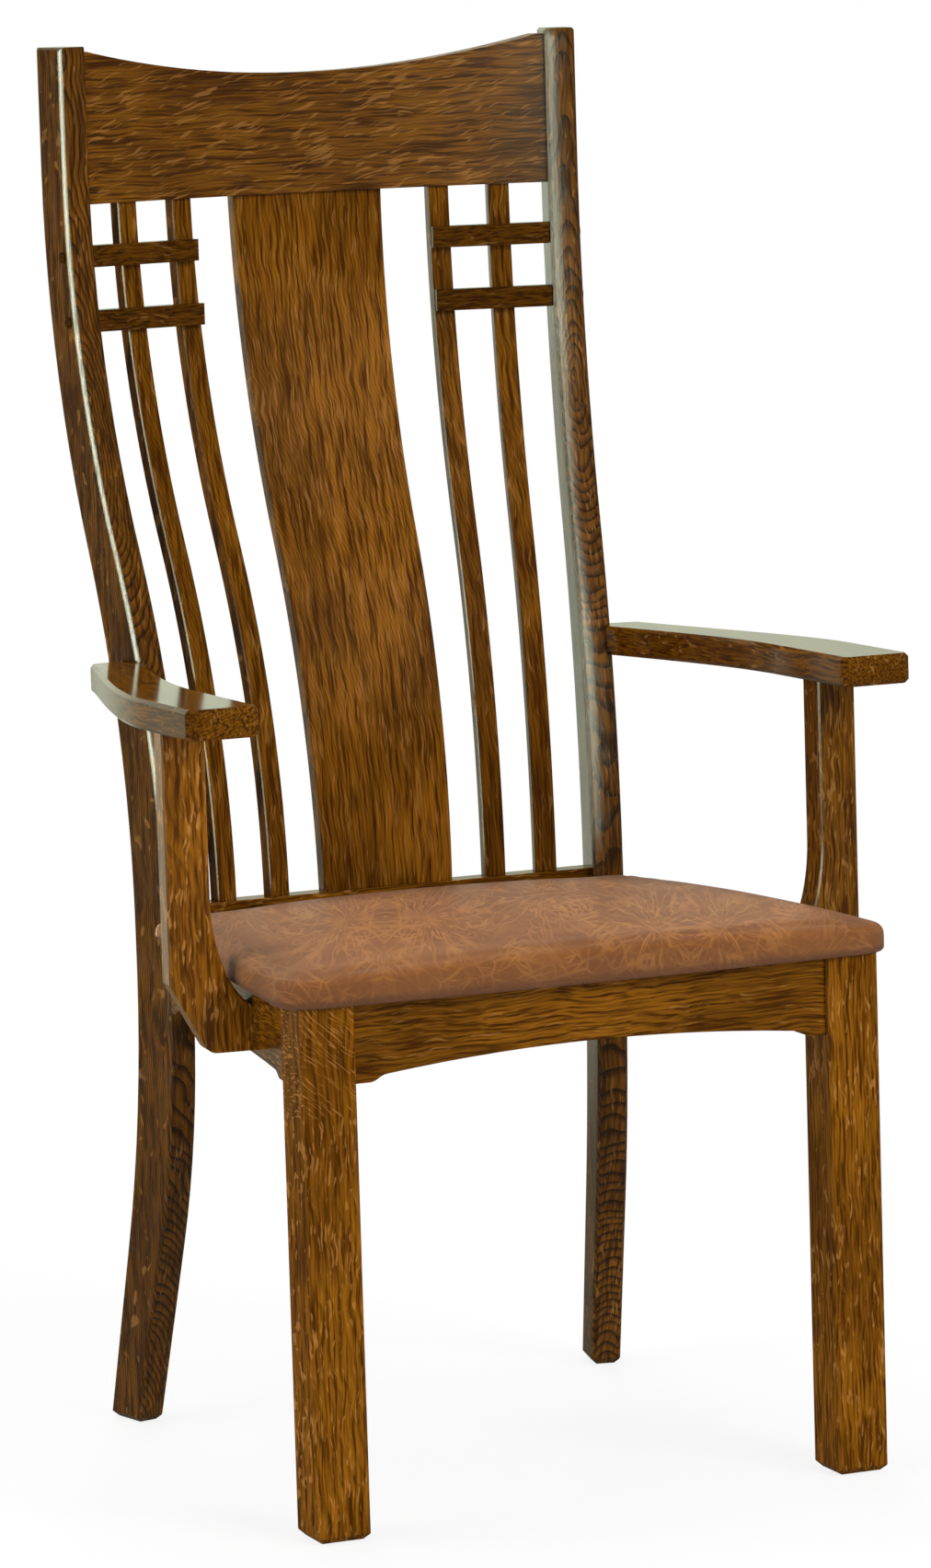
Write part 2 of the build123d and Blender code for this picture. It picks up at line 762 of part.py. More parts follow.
# Back posts
for side_name, side in sides.items():
    frame = post_plane(side)
    ankle_front = post_front.foot_at(foot_chamfer)
    ankle_back = post_depth + post_back.foot_at(foot_chamfer)
    ankle = in_post(side, post_width / 2, (ankle_front + ankle_back) / 2, foot_chamfer)
    with BuildPart() as ground_cut:
        with BuildSketch(Plane(origin=ankle, x_dir=frame.x_dir, z_dir=(0, 0, 1))) as plan:
            Rectangle(ankle_back - ankle_front, post_width)
        extrude(plan.sketch, amount=-foot_chamfer, taper=bevel_angle)
        with BuildSketch(Plane.XY.offset(foot_chamfer)) as plan:
            Rectangle(2 * overall_depth, 2 * overall_depth)
        extrude(plan.sketch, amount=chair_height)
    with BuildPart() as back_post:
        with BuildSketch(frame) as plan:
            with BuildLine():
                post_front.draw()
                post_back.draw()
                Line((post_front.foot_travel, 0), (post_depth + post_back.foot_travel, 0))
                Line((lean_run, chair_height), (lean_run + post_head_depth, chair_height))
            make_face()
        extrude(plan.sketch, amount=side * post_width)
        cheeks = back_post.faces().filter_by(Axis((0, 0, 0), frame.z_dir)).sort_by(SortBy.AREA)[-2:]
        chamfer(cheeks.edges(), post_edge)
        add(ground_cut.part, mode=Mode.INTERSECT)
        crest_tenon(side, joint_clearance)
        rear_tenon(side, joint_clearance)
        side_tenon(side, 1, joint_clearance)
        with BuildSketch(arm_plane.offset(-joint_clearance)) as plan:
            with BuildLine():
                housing_side = post_width - arm_housing - joint_clearance
                housing_back = arm_tail_lap + joint_clearance
                housing = [
                    arm_point(housing_side, housing_back),
                    arm_point(post_width + overrun, housing_back),
                    arm_point(post_width + overrun, -post_depth),
                    arm_point(housing_side, -post_depth),
                ]
                Polyline(*[(side * x, y) for x, y in housing], close=True)
            make_face()
        extrude(plan.sketch, amount=arm_thickness + 2 * joint_clearance, mode=Mode.SUBTRACT)
        for seat in dowel_seats(side):
            bore(seat, dowel_diameter + 2 * joint_clearance, -joint_clearance, dowel_length)
        for height in bar_heights.values():
            seat = bar_seat(side, height)
            bore(seat, shank_bore, -overrun, post_width + overrun)
            bore(seat, plug_diameter + 2 * joint_clearance, -plug_depth - overrun, 0)
    keep("back_post_" + side_name, back_post.part)


# Front legs
for side_name, side in sides.items():
    with BuildPart() as front_leg:
        with BuildSketch() as plan:
            with Locations((side * (leg_inner_x + leg_size / 2), leg_front_y + leg_size / 2)):
                Rectangle(leg_size, leg_size)
        extrude(plan.sketch, amount=rail_top_height)
        chamfer(front_leg.faces().sort_by(Axis.Z)[0].edges(), foot_chamfer)
        chamfer(front_leg.edges().filter_by(Axis.Z), leg_edge)
        apron_tenon(side, joint_clearance)
        side_tenon(side, -1, joint_clearance)
    keep("front_leg_" + side_name, front_leg.part)


# Front apron
with BuildPart() as apron:
    with BuildSketch(Plane.XY.offset(rail_bottom_height)) as plan:
        with Locations((0, (apron_front_y + apron_back_y) / 2)):
            Rectangle(2 * leg_inner_x, rail_thickness)
    extrude(plan.sketch, amount=rail_depth)
    with BuildSketch(Plane(origin=(0, apron_back_y, 0), x_dir=(1, 0, 0), z_dir=(0, -1, 0))) as plan:
        with BuildLine():
            arch(leg_inner_x, apron_arch_rise, rail_bottom_height)
        make_face()
    extrude(plan.sketch, amount=rail_thickness, both=True, mode=Mode.SUBTRACT)
    for side in sides.values():
        apron_tenon(side, 0)
        for seat in block_screw_seats(side, "front")[:1]:
            bore(seat, shank_bore, 0, block_screw_length + screw_clearance)
keep("front_apron", apron.part)


# Side rails
for side_name, side in sides.items():
    rear_x, rear_y = rail_end(0)
    rear_inner_x, rear_inner_y = rail_end(rail_thickness)
    front_inner_x = rail_x(leg_back_y, rail_thickness)
    rail_length = (rear_y - leg_back_y) / cos(rail_turn)
    with BuildPart() as side_rail:
        with BuildSketch(Plane.XY.offset(rail_bottom_height)) as plan:
            with BuildLine():
                Polyline(
                    (side * rail_front_x, leg_back_y),
                    (side * rear_x, rear_y),
                    (side * rear_inner_x, rear_inner_y),
                    (side * front_inner_x, leg_back_y),
                    close=True,
                )
            make_face()
        extrude(plan.sketch, amount=rail_depth)
        frame = rail_frame(side, leg_back_y + rail_length / 2 * rail_axis[1], 0)
        with BuildSketch(frame) as plan:
            with BuildLine():
                arch(rail_length / 2, side_arch_rise, rail_bottom_height)
            make_face()
        extrude(plan.sketch, amount=2 * rail_thickness, both=True, mode=Mode.SUBTRACT)
        side_tenon(side, -1, 0)
        side_tenon(side, 1, 0)
        for end in ends:
            bore(block_screw_seats(side, end)[1], shank_bore, 0, block_screw_length + screw_clearance)
        for seat in support_screw_seats(side):
            bore(seat, shank_bore, -overrun, rail_thickness + overrun)
    keep("side_rail_" + side_name, side_rail.part)


# Rear seat rail
with BuildPart() as rear_rail:
    with BuildSketch(Plane.XY.offset(rear_rail_bottom)) as plan:
        with BuildLine():
            front_half = post_inner_x + rear_rail_setback * tan(post_turn) - joint_clearance / 2
            back_half = front_half + rail_thickness * tan(post_turn)
            Polyline(
                (-front_half, rear_rail_front_y),
                (front_half, rear_rail_front_y),
                (back_half, rear_rail_back_y),
                (-back_half, rear_rail_back_y),
                close=True,
            )
        make_face()
    extrude(plan.sketch, amount=rear_rail_top - rear_rail_bottom)
    chamfer(rear_rail.faces().sort_by(Axis.Z)[-1].edges().filter_by(Axis.X), rail_edge)
    for side in sides.values():
        rear_tenon(side, 0)
        bore(block_screw_seats(side, "rear")[0], shank_bore, 0, block_screw_length + screw_clearance)
    for slat in slats.values():
        slat_tenons(slat, narrow_slat_width, narrow_slat_width, joint_clearance, "foot")
    slat_tenons(centre_slat_data, centre_foot_width, centre_head_width, joint_clearance, "foot")
keep("rear_seat_rail", rear_rail.part)


# Crest rail
with BuildPart() as crest:
    with BuildSketch(Plane.XY.offset(crest_bottom)) as plan:
        with Locations((0, crest_centre_y)):
            Circle(crest_radius + crest_thickness)
            Circle(crest_radius, mode=Mode.SUBTRACT)
        with BuildLine():
            near = in_post(1, -joint_clearance / 2, lean_run - crest_bow, 0)
            far = in_post(1, -joint_clearance / 2, lean_run + 2 * crest_bow, 0)
            Polyline((-near.X, near.Y), (near.X, near.Y), (far.X, far.Y), (-far.X, far.Y), close=True)
        make_face(mode=Mode.INTERSECT)
    extrude(plan.sketch, amount=crest_height)
    with BuildSketch(Plane.XZ.offset(-crest_front_y)) as plan:
        with BuildLine():
            scoop_half = crest_half - crest_scoop_flat
            ThreePointArc((-scoop_half, crest_top), (0, crest_top - crest_scoop), (scoop_half, crest_top))
            Polyline(
                (scoop_half, crest_top),
                (scoop_half, crest_top + overrun),
                (-scoop_half, crest_top + overrun),
                (-scoop_half, crest_top),
            )
        make_face()
    extrude(plan.sketch, amount=2 * crest_bow + crest_thickness, both=True, mode=Mode.SUBTRACT)
    for side in sides.values():
        crest_tenon(side, 0)
    for slat in slats.values():
        slat_tenons(slat, narrow_slat_width, narrow_slat_width, joint_clearance, "head")
    slat_tenons(centre_slat_data, centre_foot_width, centre_head_width, joint_clearance, "head")
keep("crest_rail", crest.part)


# Narrow slats
def slat_face(run: float) -> None:
    """Draws a slat's side outline in its own plane, longer than the slat at both ends."""
    low = min(rear_rail_top, lean_start) - overrun
    high = max(crest_bottom, lean_end) + overrun
    for shift in (0, slat_thickness):
        lean_curve(shift, run, low, high)
    Line((0, low), (slat_thickness, low))
    Line((run, high), (run + slat_thickness, high))


def slat_length(run: float) -> None:
    """Cuts a slat's side outline off at the rear rail and under the crest rail."""
    with Locations(((run + slat_thickness) / 2, (rear_rail_top + crest_bottom) / 2)):
        Rectangle(run + slat_thickness + 2 * overrun, crest_bottom - rear_rail_top, mode=Mode.INTERSECT)


for name, slat in slats.items():
    with BuildPart() as narrow_slat:
        with BuildSketch(slat.plane) as plan:
            with BuildLine():
                slat_face(slat.run)
            make_face()
            slat_length(slat.run)
        extrude(plan.sketch, amount=narrow_slat_width / 2, both=True)
        cheeks = narrow_slat.faces().filter_by(Axis((0, 0, 0), slat.plane.z_dir)).sort_by(SortBy.AREA)[-2:]
        chamfer(cheeks.edges().filter_by(GeomType.LINE, reverse=True), slat_edge)
        slat_tenons(slat, narrow_slat_width, narrow_slat_width, 0, "foot head")
    keep(name, narrow_slat.part)


# Centre slat: the same side outline, cut to a taper that widens upwards
with BuildPart() as centre_slat:
    with BuildSketch(centre_slat_data.plane) as plan:
        with BuildLine():
            slat_face(centre_slat_data.run)
        make_face()
        slat_length(centre_slat_data.run)
    extrude(plan.sketch, amount=centre_head_width, both=True)
    with BuildSketch(Plane.XZ) as plan:
        with BuildLine():
            Polyline(
                (-centre_foot_width / 2, rear_rail_top),
                (centre_foot_width / 2, rear_rail_top),
                (centre_head_width / 2, crest_bottom),
                (-centre_head_width / 2, crest_bottom),
                close=True,
            )
        make_face()
    extrude(plan.sketch, amount=overall_depth, both=True, mode=Mode.INTERSECT)
    slat_tenons(centre_slat_data, centre_foot_width, centre_head_width, 0, "foot head")
keep("centre_slat", centre_slat.part)


# Lattice bars, notched over the slats
for side_name, side in sides.items():
    for level, height in bar_heights.items():
        with BuildPart() as bar:
            with BuildSketch(Plane.XY.offset(height - bar_height / 2)) as plan:
                with BuildLine():
                    Polyline(*bar_corners(side, height), close=True)
                make_face()
            extrude(plan.sketch, amount=bar_height)
            front = bar.faces().sort_by(Axis.Y)[0]
            chamfer(front.edges(), bar_edge)
            for slat_name in ("outer_slat_", "inner_slat_"):
                add(pieces[slat_name + side_name], mode=Mode.SUBTRACT)
            seat = bar_seat(side, height)
            bore(seat, shank_bore, 0, bar_screw_length + screw_clearance)
        keep("lattice_bar_" + level + "_" + side_name, bar.part)


# Arms and their dowels
for side_name, side in sides.items():
    with BuildPart() as arm:
        with BuildSketch(arm_plane) as plan:
            with BuildLine():
                arm_outline()
            make_face()
        extrude(plan.sketch, amount=arm_thickness)
        rims = arm.faces().filter_by(Axis(arm_plane.origin, arm_plane.z_dir))
        tail = arm_tail_front.Y
        chamfer([e for e in rims.edges() if e.center().Y < tail], arm_edge)
        if side < 0:
            mirror(about=Plane.YZ, mode=Mode.REPLACE)
        support_tenon(side, joint_clearance)
        for seat in dowel_seats(side):
            bore(seat, dowel_diameter + 2 * joint_clearance, 0, dowel_length + joint_clearance)
    keep("arm_" + side_name, arm.part)

with BuildPart() as dowels:
    for side in sides.values():
        for seat in dowel_seats(side):
            with BuildSketch(seat) as plan:
                Circle(dowel_diameter / 2)
            extrude(plan.sketch, amount=dowel_length)
keep("arm_dowels", dowels.part)


# Arm supports
for side_name, side in sides.items():
    foot_low = rail_top_height - support_foot_drop
    foot_high = foot_low + support_foot_height
    outer = support_offset + support_width
    toe = outer - support_bevel_run
    hook = foot_low + hook_height
    support_head = arm_under(support_front_y) + overrun
    with BuildPart() as support:
        with BuildSketch(support_plane(side)) as plan:
            with BuildLine():
                Polyline(
                    (0, foot_high),
                    (0, foot_low),
                    (toe, foot_low),
                    (outer, foot_low + support_bevel_height),
                    (outer, support_head),
                    (support_offset, support_head),
                    (support_offset, hook),
                )
                Bezier(
                    (support_offset, hook),
                    (support_offset, hook - hook_upper_pull),
                    (hook_side_pull, foot_high + hook_lower_pull),
                    (0, foot_high),
                )
            make_face()
            fillet(plan.vertices().sort_by_distance((toe, foot_low))[0], support_toe_radius)
        extrude(plan.sketch, amount=-side * support_thickness)
        long_edges = support.edges().filter_by(Axis.Z).sort_by(SortBy.LENGTH)[-4:]
        chamfer(long_edges, support_edge)
        split(bisect_by=arm_plane, keep=Keep.BOTTOM)
        support_tenon(side, 0)
        for seat in support_screw_seats(side):
            bore(seat, shank_bore, 0, support_screw_length + screw_clearance)
    keep("arm_support_" + side_name, support.part)


# Corner blocks
for side_name, side in sides.items():
    for end in ends:
        with BuildPart() as block:
            with BuildSketch(Plane.XY.offset(block_low)) as plan:
                with BuildLine():
                    Polyline(*block_plan(side, end), close=True)
                make_face()
            extrude(plan.sketch, amount=block_height)
            for seat in block_screw_seats(side, end):
                bore(seat, shank_bore, -overrun, block_screw_length)
                bore(seat, head_bore, -block_reach, 0)
            bore(seat_screw_seat(side, end), shank_bore, -overrun, seat_screw_length)
        keep("corner_block_" + end + "_" + side_name, block.part)


def underside_plan(inset: float) -> list[tuple[float, float]]:
    """Corners of the seat's underside, inset by a distance."""
    front_y = cushion_front_y + cushion_front_bow + inset
    rear_y = cushion_rear_y - inset
    front_x = rail_x(front_y) + cushion_side_overhang - inset
    rear_x = rail_x(rear_y) + cushion_side_overhang - inset
    return [(-front_x, front_y), (front_x, front_y), (rear_x, rear_y), (-rear_x, rear_y)]


dust_cover_inset = leather_return - dust_cover_lap


def staples(grow: float) -> None:
    """Staples up through the dust cover and the leather's return into the seat board."""
    corners = underside_plan(leather_return - dust_cover_lap / 2)
    under = rail_top_height - dust_cover_thickness
    wire = staple_wire + 2 * grow
    for (start_x, start_y), (end_x, end_y) in zip(corners, corners[1:] + corners[:1]):
        turn = (end_x - start_x, end_y - start_y, 0)
        for step in range(staples_per_side):
            share = staple_end_share + (1 - 2 * staple_end_share) * step / (staples_per_side - 1)
            place = (start_x + turn[0] * share, start_y + turn[1] * share, under)
            frame = Plane(origin=place, x_dir=turn, z_dir=(0, 0, 1))
            with BuildSketch(frame) as plan:
                with GridLocations(staple_width - staple_wire, 0, 2, 1):
                    Rectangle(wire, wire)
            extrude(plan.sketch, amount=staple_leg + grow)
            with BuildSketch(frame) as plan:
                Rectangle(staple_width, wire)
            extrude(plan.sketch, amount=-wire)


with BuildPart() as staple_holes:
    staples(staple_clearance)

with BuildPart() as seat_staples:
    staples(0)
keep("seat_staples", seat_staples.part)


# Seat board, foam, leather, dust cover and staples
with BuildPart() as core:
    cushion_form(leather_thickness)
    fillet(core.faces().sort_by(Axis.Z)[-1].edges(), cushion_roll - leather_thickness)
    fillet(core.faces().sort_by(Axis.Z)[0].edges(), cushion_tuck - leather_thickness)

board_top = rail_top_height + leather_thickness + board_thickness
seat_screws = [seat_screw_seat(side, end) for side in sides.values() for end in ends]

with BuildPart() as board:
    add(core.part)
    split(bisect_by=Plane.XY.offset(board_top), keep=Keep.BOTTOM)
    for seat in seat_screws:
        bore(seat, shank_bore, 0, seat_screw_length + screw_clearance)
    add(staple_holes.part, mode=Mode.SUBTRACT)
keep("seat_board", board.part)

with BuildPart() as foam:
    add(core.part)
    split(bisect_by=Plane.XY.offset(board_top), keep=Keep.TOP)
keep("seat_foam", foam.part)


with BuildPart() as cover:
    cushion_form(0)
    fillet(cover.faces().sort_by(Axis.Z)[-1].edges(), cushion_roll)
    fillet(cover.faces().sort_by(Axis.Z)[0].edges(), cushion_tuck)
    add(core.part, mode=Mode.SUBTRACT)
    with BuildSketch(Plane.XY.offset(rail_top_height + leather_thickness)) as plan:
        with BuildLine():
            Polyline(*underside_plan(leather_return), close=True)
        make_face()
    extrude(plan.sketch, amount=-leather_thickness - overrun, mode=Mode.SUBTRACT)
    for seat in seat_screws:
        bore(seat, shank_bore, 0, rail_top_height + leather_thickness - block_low)
    add(staple_holes.part, mode=Mode.SUBTRACT)
keep("seat_leather", cover.part)

with BuildPart() as dust_cover:
    with BuildSketch(Plane.XY.offset(rail_top_height)) as plan:
        with BuildLine():
            Polyline(*underside_plan(dust_cover_inset), close=True)
        make_face()
    extrude(plan.sketch, amount=-dust_cover_thickness)
    for seat in seat_screws:
        bore(seat, shank_bore, 0, seat_screw_length)
    add(staple_holes.part, mode=Mode.SUBTRACT)
keep("dust_cover", dust_cover.part)


# Screws, each kind in one piece of its own
screw_sets = {
    "seat_screws": (seat_screws, seat_screw_length),
    "block_screws": (
        [seat for side in sides.values() for end in ends for seat in block_screw_seats(side, end)],
        block_screw_length,
    ),
    "support_screws": (
        [seat for side in sides.values() for seat in support_screw_seats(side)],
        support_screw_length,
    ),
    "lattice_screws": (
        [bar_seat(side, height) for side in sides.values() for height in bar_heights.values()],
        bar_screw_length,
    ),
}
for name, (seats, length) in screw_sets.items():
    with BuildPart() as screws:
        for seat in seats:
            screw(seat, length)
            screw_slot(seat)
    keep(name, screws.part)

with BuildPart() as plugs:
    for seat in screw_sets["lattice_screws"][0]:
        with BuildSketch(seat.offset(-screw_head_height - plug_seat_gap)) as plan:
            Circle(plug_diameter / 2)
        extrude(plan.sketch, amount=screw_head_height + plug_seat_gap - plug_depth - plug_dome)
keep("lattice_plugs", plugs.part)


# Write every piece
os.makedirs("parts", exist_ok=True)
for name, piece in pieces.items():
    export_step(piece, "parts/" + name + ".step")
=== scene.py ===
"""Mission dining armchair: the finishes of its pieces, its padded seat, the studio and the camera."""

import logging
import math
from dataclasses import dataclass, field, replace
from enum import Enum
from functools import reduce
from typing import Any, Callable, Optional, Union

import bpy
import numpy as np
from mathutils import Matrix, Vector


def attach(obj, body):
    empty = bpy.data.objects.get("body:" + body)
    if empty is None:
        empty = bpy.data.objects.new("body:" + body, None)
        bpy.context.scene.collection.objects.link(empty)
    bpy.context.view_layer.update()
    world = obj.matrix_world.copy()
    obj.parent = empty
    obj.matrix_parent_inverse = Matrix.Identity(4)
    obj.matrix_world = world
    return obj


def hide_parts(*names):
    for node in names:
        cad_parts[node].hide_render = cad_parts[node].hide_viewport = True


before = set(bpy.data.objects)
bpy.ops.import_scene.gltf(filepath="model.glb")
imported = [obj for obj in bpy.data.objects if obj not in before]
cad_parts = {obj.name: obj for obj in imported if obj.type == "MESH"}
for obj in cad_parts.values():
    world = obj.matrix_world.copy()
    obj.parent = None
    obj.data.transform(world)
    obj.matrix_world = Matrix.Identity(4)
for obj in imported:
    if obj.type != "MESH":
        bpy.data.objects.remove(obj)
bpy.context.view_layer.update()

Colour = tuple[float, float, float]
Setting = Union["Wire", float, Colour]
log = logging.getLogger("mission_chair")


def stain(red: int, green: int, blue: int) -> Colour:
    """A paint card's colour, 0 to 255, as linear values: a straight foot, then a power, as in sRGB."""
    shares = np.array((red, green, blue)) / 255.0
    return tuple(np.where(shares <= 0.04045, shares / 12.92, ((shares + 0.055) / 1.055) ** 2.4).tolist())


def operator(operation: str, swapped: bool = False) -> Callable[["Wire", "Setting"], "Wire"]:
    """Makes the method that stands for one kind of Math node.

    Args:
        operation: what the node does.
        swapped: whether the other value comes first.

    Returns:
        The method.
    """

    def method(wire: "Wire", other: Setting = 0.0) -> "Wire":
        """The Math node over this value and the other one."""
        first, second = (other, wire) if swapped else (wire, other)
        return wire.sheet.node("Math", {"operation": operation}, {0: first, 1: second})

    return method


class Wire:
    """A node's socket that takes part in Python arithmetic by adding Math nodes.

    Beside the arithmetic signs it has size(), the absolute value; most(other), the larger of two;
    part(), the fraction after the whole number; mirrored(span), the value run up and down between
    zero and a span; and angle(across), the angle whose tangent is this value over another.
    """

    __add__ = operator("ADD")
    __radd__ = operator("ADD", swapped=True)
    __sub__ = operator("SUBTRACT")
    __rsub__ = operator("SUBTRACT", swapped=True)
    __mul__ = operator("MULTIPLY")
    __rmul__ = operator("MULTIPLY", swapped=True)
    __truediv__ = operator("DIVIDE")
    __pow__ = operator("POWER")
    size = operator("ABSOLUTE")
    most = operator("MAXIMUM")
    part = operator("FRACT")
    mirrored = operator("PINGPONG")
    angle = operator("ARCTAN2")

    def __init__(self, sheet: "Sheet", socket: bpy.types.NodeSocket) -> None:
        """Wraps a socket of the node tree that new nodes go into."""
        self.sheet = sheet
        self.socket = socket

    def out(self, key: Union[str, int]) -> "Wire":
        """Another output of the same node."""
        return Wire(self.sheet, self.socket.node.outputs[key])

    def between(self, low: float, high: float) -> "Wire":
        """Soft step that is 0 at low and 1 at high, which may lie under low."""
        settings = {"interpolation_type": "SMOOTHSTEP"}
        return self.sheet.node("MapRange", settings, {0: self, 1: low, 2: high, 3: 0.0, 4: 1.0})


class Sheet:
    """A node tree, with one method that adds any node to it."""

    def __init__(self, tree: bpy.types.NodeTree) -> None:
        """Empties the tree of a material or of the world."""
        self.tree = tree
        tree.nodes.clear()

    def node(
        self,
        kind: str,
        settings: Optional[dict[str, Any]] = None,
        sockets: Optional[dict[Union[str, int], Any]] = None,
        out: Union[str, int] = 0,
    ) -> Wire:
        """Adds one node.

        Args:
            kind: the node's type, without its first word, ShaderNode.
            settings: its properties, set first.
            sockets: values or links of its inputs, by name or number.
            out: the output that comes back.

        Returns:
            The chosen output.
        """
        made = self.tree.nodes.new(f"ShaderNode{kind}")
        for key, value in (settings or {}).items():
            setattr(made, key, value)
        for key, value in (sockets or {}).items():
            if isinstance(value, Wire):
                self.tree.links.new(value.socket, made.inputs[key])
            elif isinstance(value, tuple) and made.inputs[key].type == "RGBA":
                made.inputs[key].default_value = (*value, 1.0)
            else:
                made.inputs[key].default_value = value
        if len(made.outputs) == 0:
            return Wire(self, made.inputs[0])
        return Wire(self, made.outputs[out])

    def place(self) -> Wire:
        """Coordinates in metres that are fixed to the piece."""
        return self.node("TexCoord", out="Object")

    def map(
        self,
        vector: Wire,
        shift: Colour = (0.0, 0.0, 0.0),
        turn: Colour = (0.0, 0.0, 0.0),
        scale: Colour = (1.0, 1.0, 1.0),
    ) -> Wire:
        """Coordinates scaled, then turned about the three axes in radians, then shifted."""
        sockets = {"Vector": vector, "Location": shift, "Rotation": turn, "Scale": scale}
        return self.node("Mapping", {"vector_type": "POINT"}, sockets)

    def noise(self, vector: Wire, scale: float, detail: float = 2.0, rough: float = 0.5) -> Wire:
        """Noise from 0 to 1 by blobs per metre, finer layers and their strength, with colour as output 1."""
        sockets = {"Vector": vector, "Scale": scale, "Detail": detail, "Roughness": rough}
        return self.node("TexNoise", {"noise_dimensions": "3D"}, sockets)

    def axes(self, vector: Wire) -> tuple[Wire, Wire, Wire]:
        """A vector's three coordinates."""
        first = self.node("SeparateXYZ", None, {0: vector}, out="X")
        return first, first.out("Y"), first.out("Z")

    def joined(self, across: Setting, back: Setting = 0.0, up: Setting = 0.0) -> Wire:
        """A vector of three coordinates."""
        return self.node("CombineXYZ", None, {0: across, 1: back, 2: up})

    def vector(self, operation: str, first: Any, second: Any) -> Wire:
        """A Vector Math node over two vectors."""
        return self.node("VectorMath", {"operation": operation}, {0: first, 1: second})

    def lengthened(self, vector: Wire, by: Setting) -> Wire:
        """A vector times a number."""
        return self.node("VectorMath", {"operation": "SCALE"}, {0: vector, "Scale": by})

    def wander(self, vector: Wire, scale: float, reach: float, detail: float = 1.0) -> Wire:
        """Coordinates pushed about by noise of a scale, as far as the reach in metres."""
        push = self.vector("SUBTRACT", self.noise(vector, scale, detail).out(1), (0.5, 0.5, 0.5))
        return self.vector("ADD", vector, self.lengthened(push, 2.0 * reach))

    def mixed(self, share: Setting, first: Any, second: Any) -> Wire:
        """The first colour, covered by a share of the second."""
        settings = {"data_type": "RGBA", "blend_type": "MIX"}
        return self.node("Mix", settings, {0: share, 6: first, 7: second}, out=2)

    def bump(self, height: Wire, depth: float, strength: float = 1.0, rounding: float = 0.0) -> Wire:
        """A normal raised by a height from 0 to 1.

        Args:
            height: the relief.
            depth: its full depth in metres.
            strength: how much of it is kept.
            rounding: radius over which edges look rounded, in metres.

        Returns:
            The normal.
        """
        sockets = {"Height": height, "Distance": depth, "Strength": strength}
        if rounding > 0.0:
            sockets["Normal"] = self.node("Bevel", {"samples": 4}, {"Radius": rounding})
        return self.node("Bump", None, sockets)


def surface(name: str, sheet_of: Any, fixed: dict[str, Any]) -> bpy.types.Material:
    """Makes a material from a function that gives its varying sockets.

    Args:
        name: the material's name.
        sheet_of: function from a sheet to a dict of the shader's sockets that vary.
        fixed: values that are the same all over the surface.

    Returns:
        The finished material.
    """
    material = bpy.data.materials.new(name)
    material.use_nodes = True
    sheet = Sheet(material.node_tree)
    shader = sheet.node("BsdfPrincipled", None, {**fixed, **sheet_of(sheet)})
    sheet.node("OutputMaterial", None, {"Surface": shader})
    return material


class Lie(Enum):
    """How a board lies, as the turn that brings its grain upright and its wide face forward."""

    UPRIGHT = (0.0, 0.0, 0.0)
    ACROSS = (0.0, 0.5 * math.pi, 0.0)
    FLAT_BACKWARD = (0.5 * math.pi, 0.0, 0.0)
    ON_EDGE_BACKWARD = (0.5 * math.pi, 0.0, 0.5 * math.pi)


class Cut(Enum):
    """How the board was sawn from the log, as the way from its face to the log's middle, in metres."""

    QUARTER = (0.30, 0.004)
    RIFT = (0.12, 0.09)
    FLAT = (0.006, 0.055)


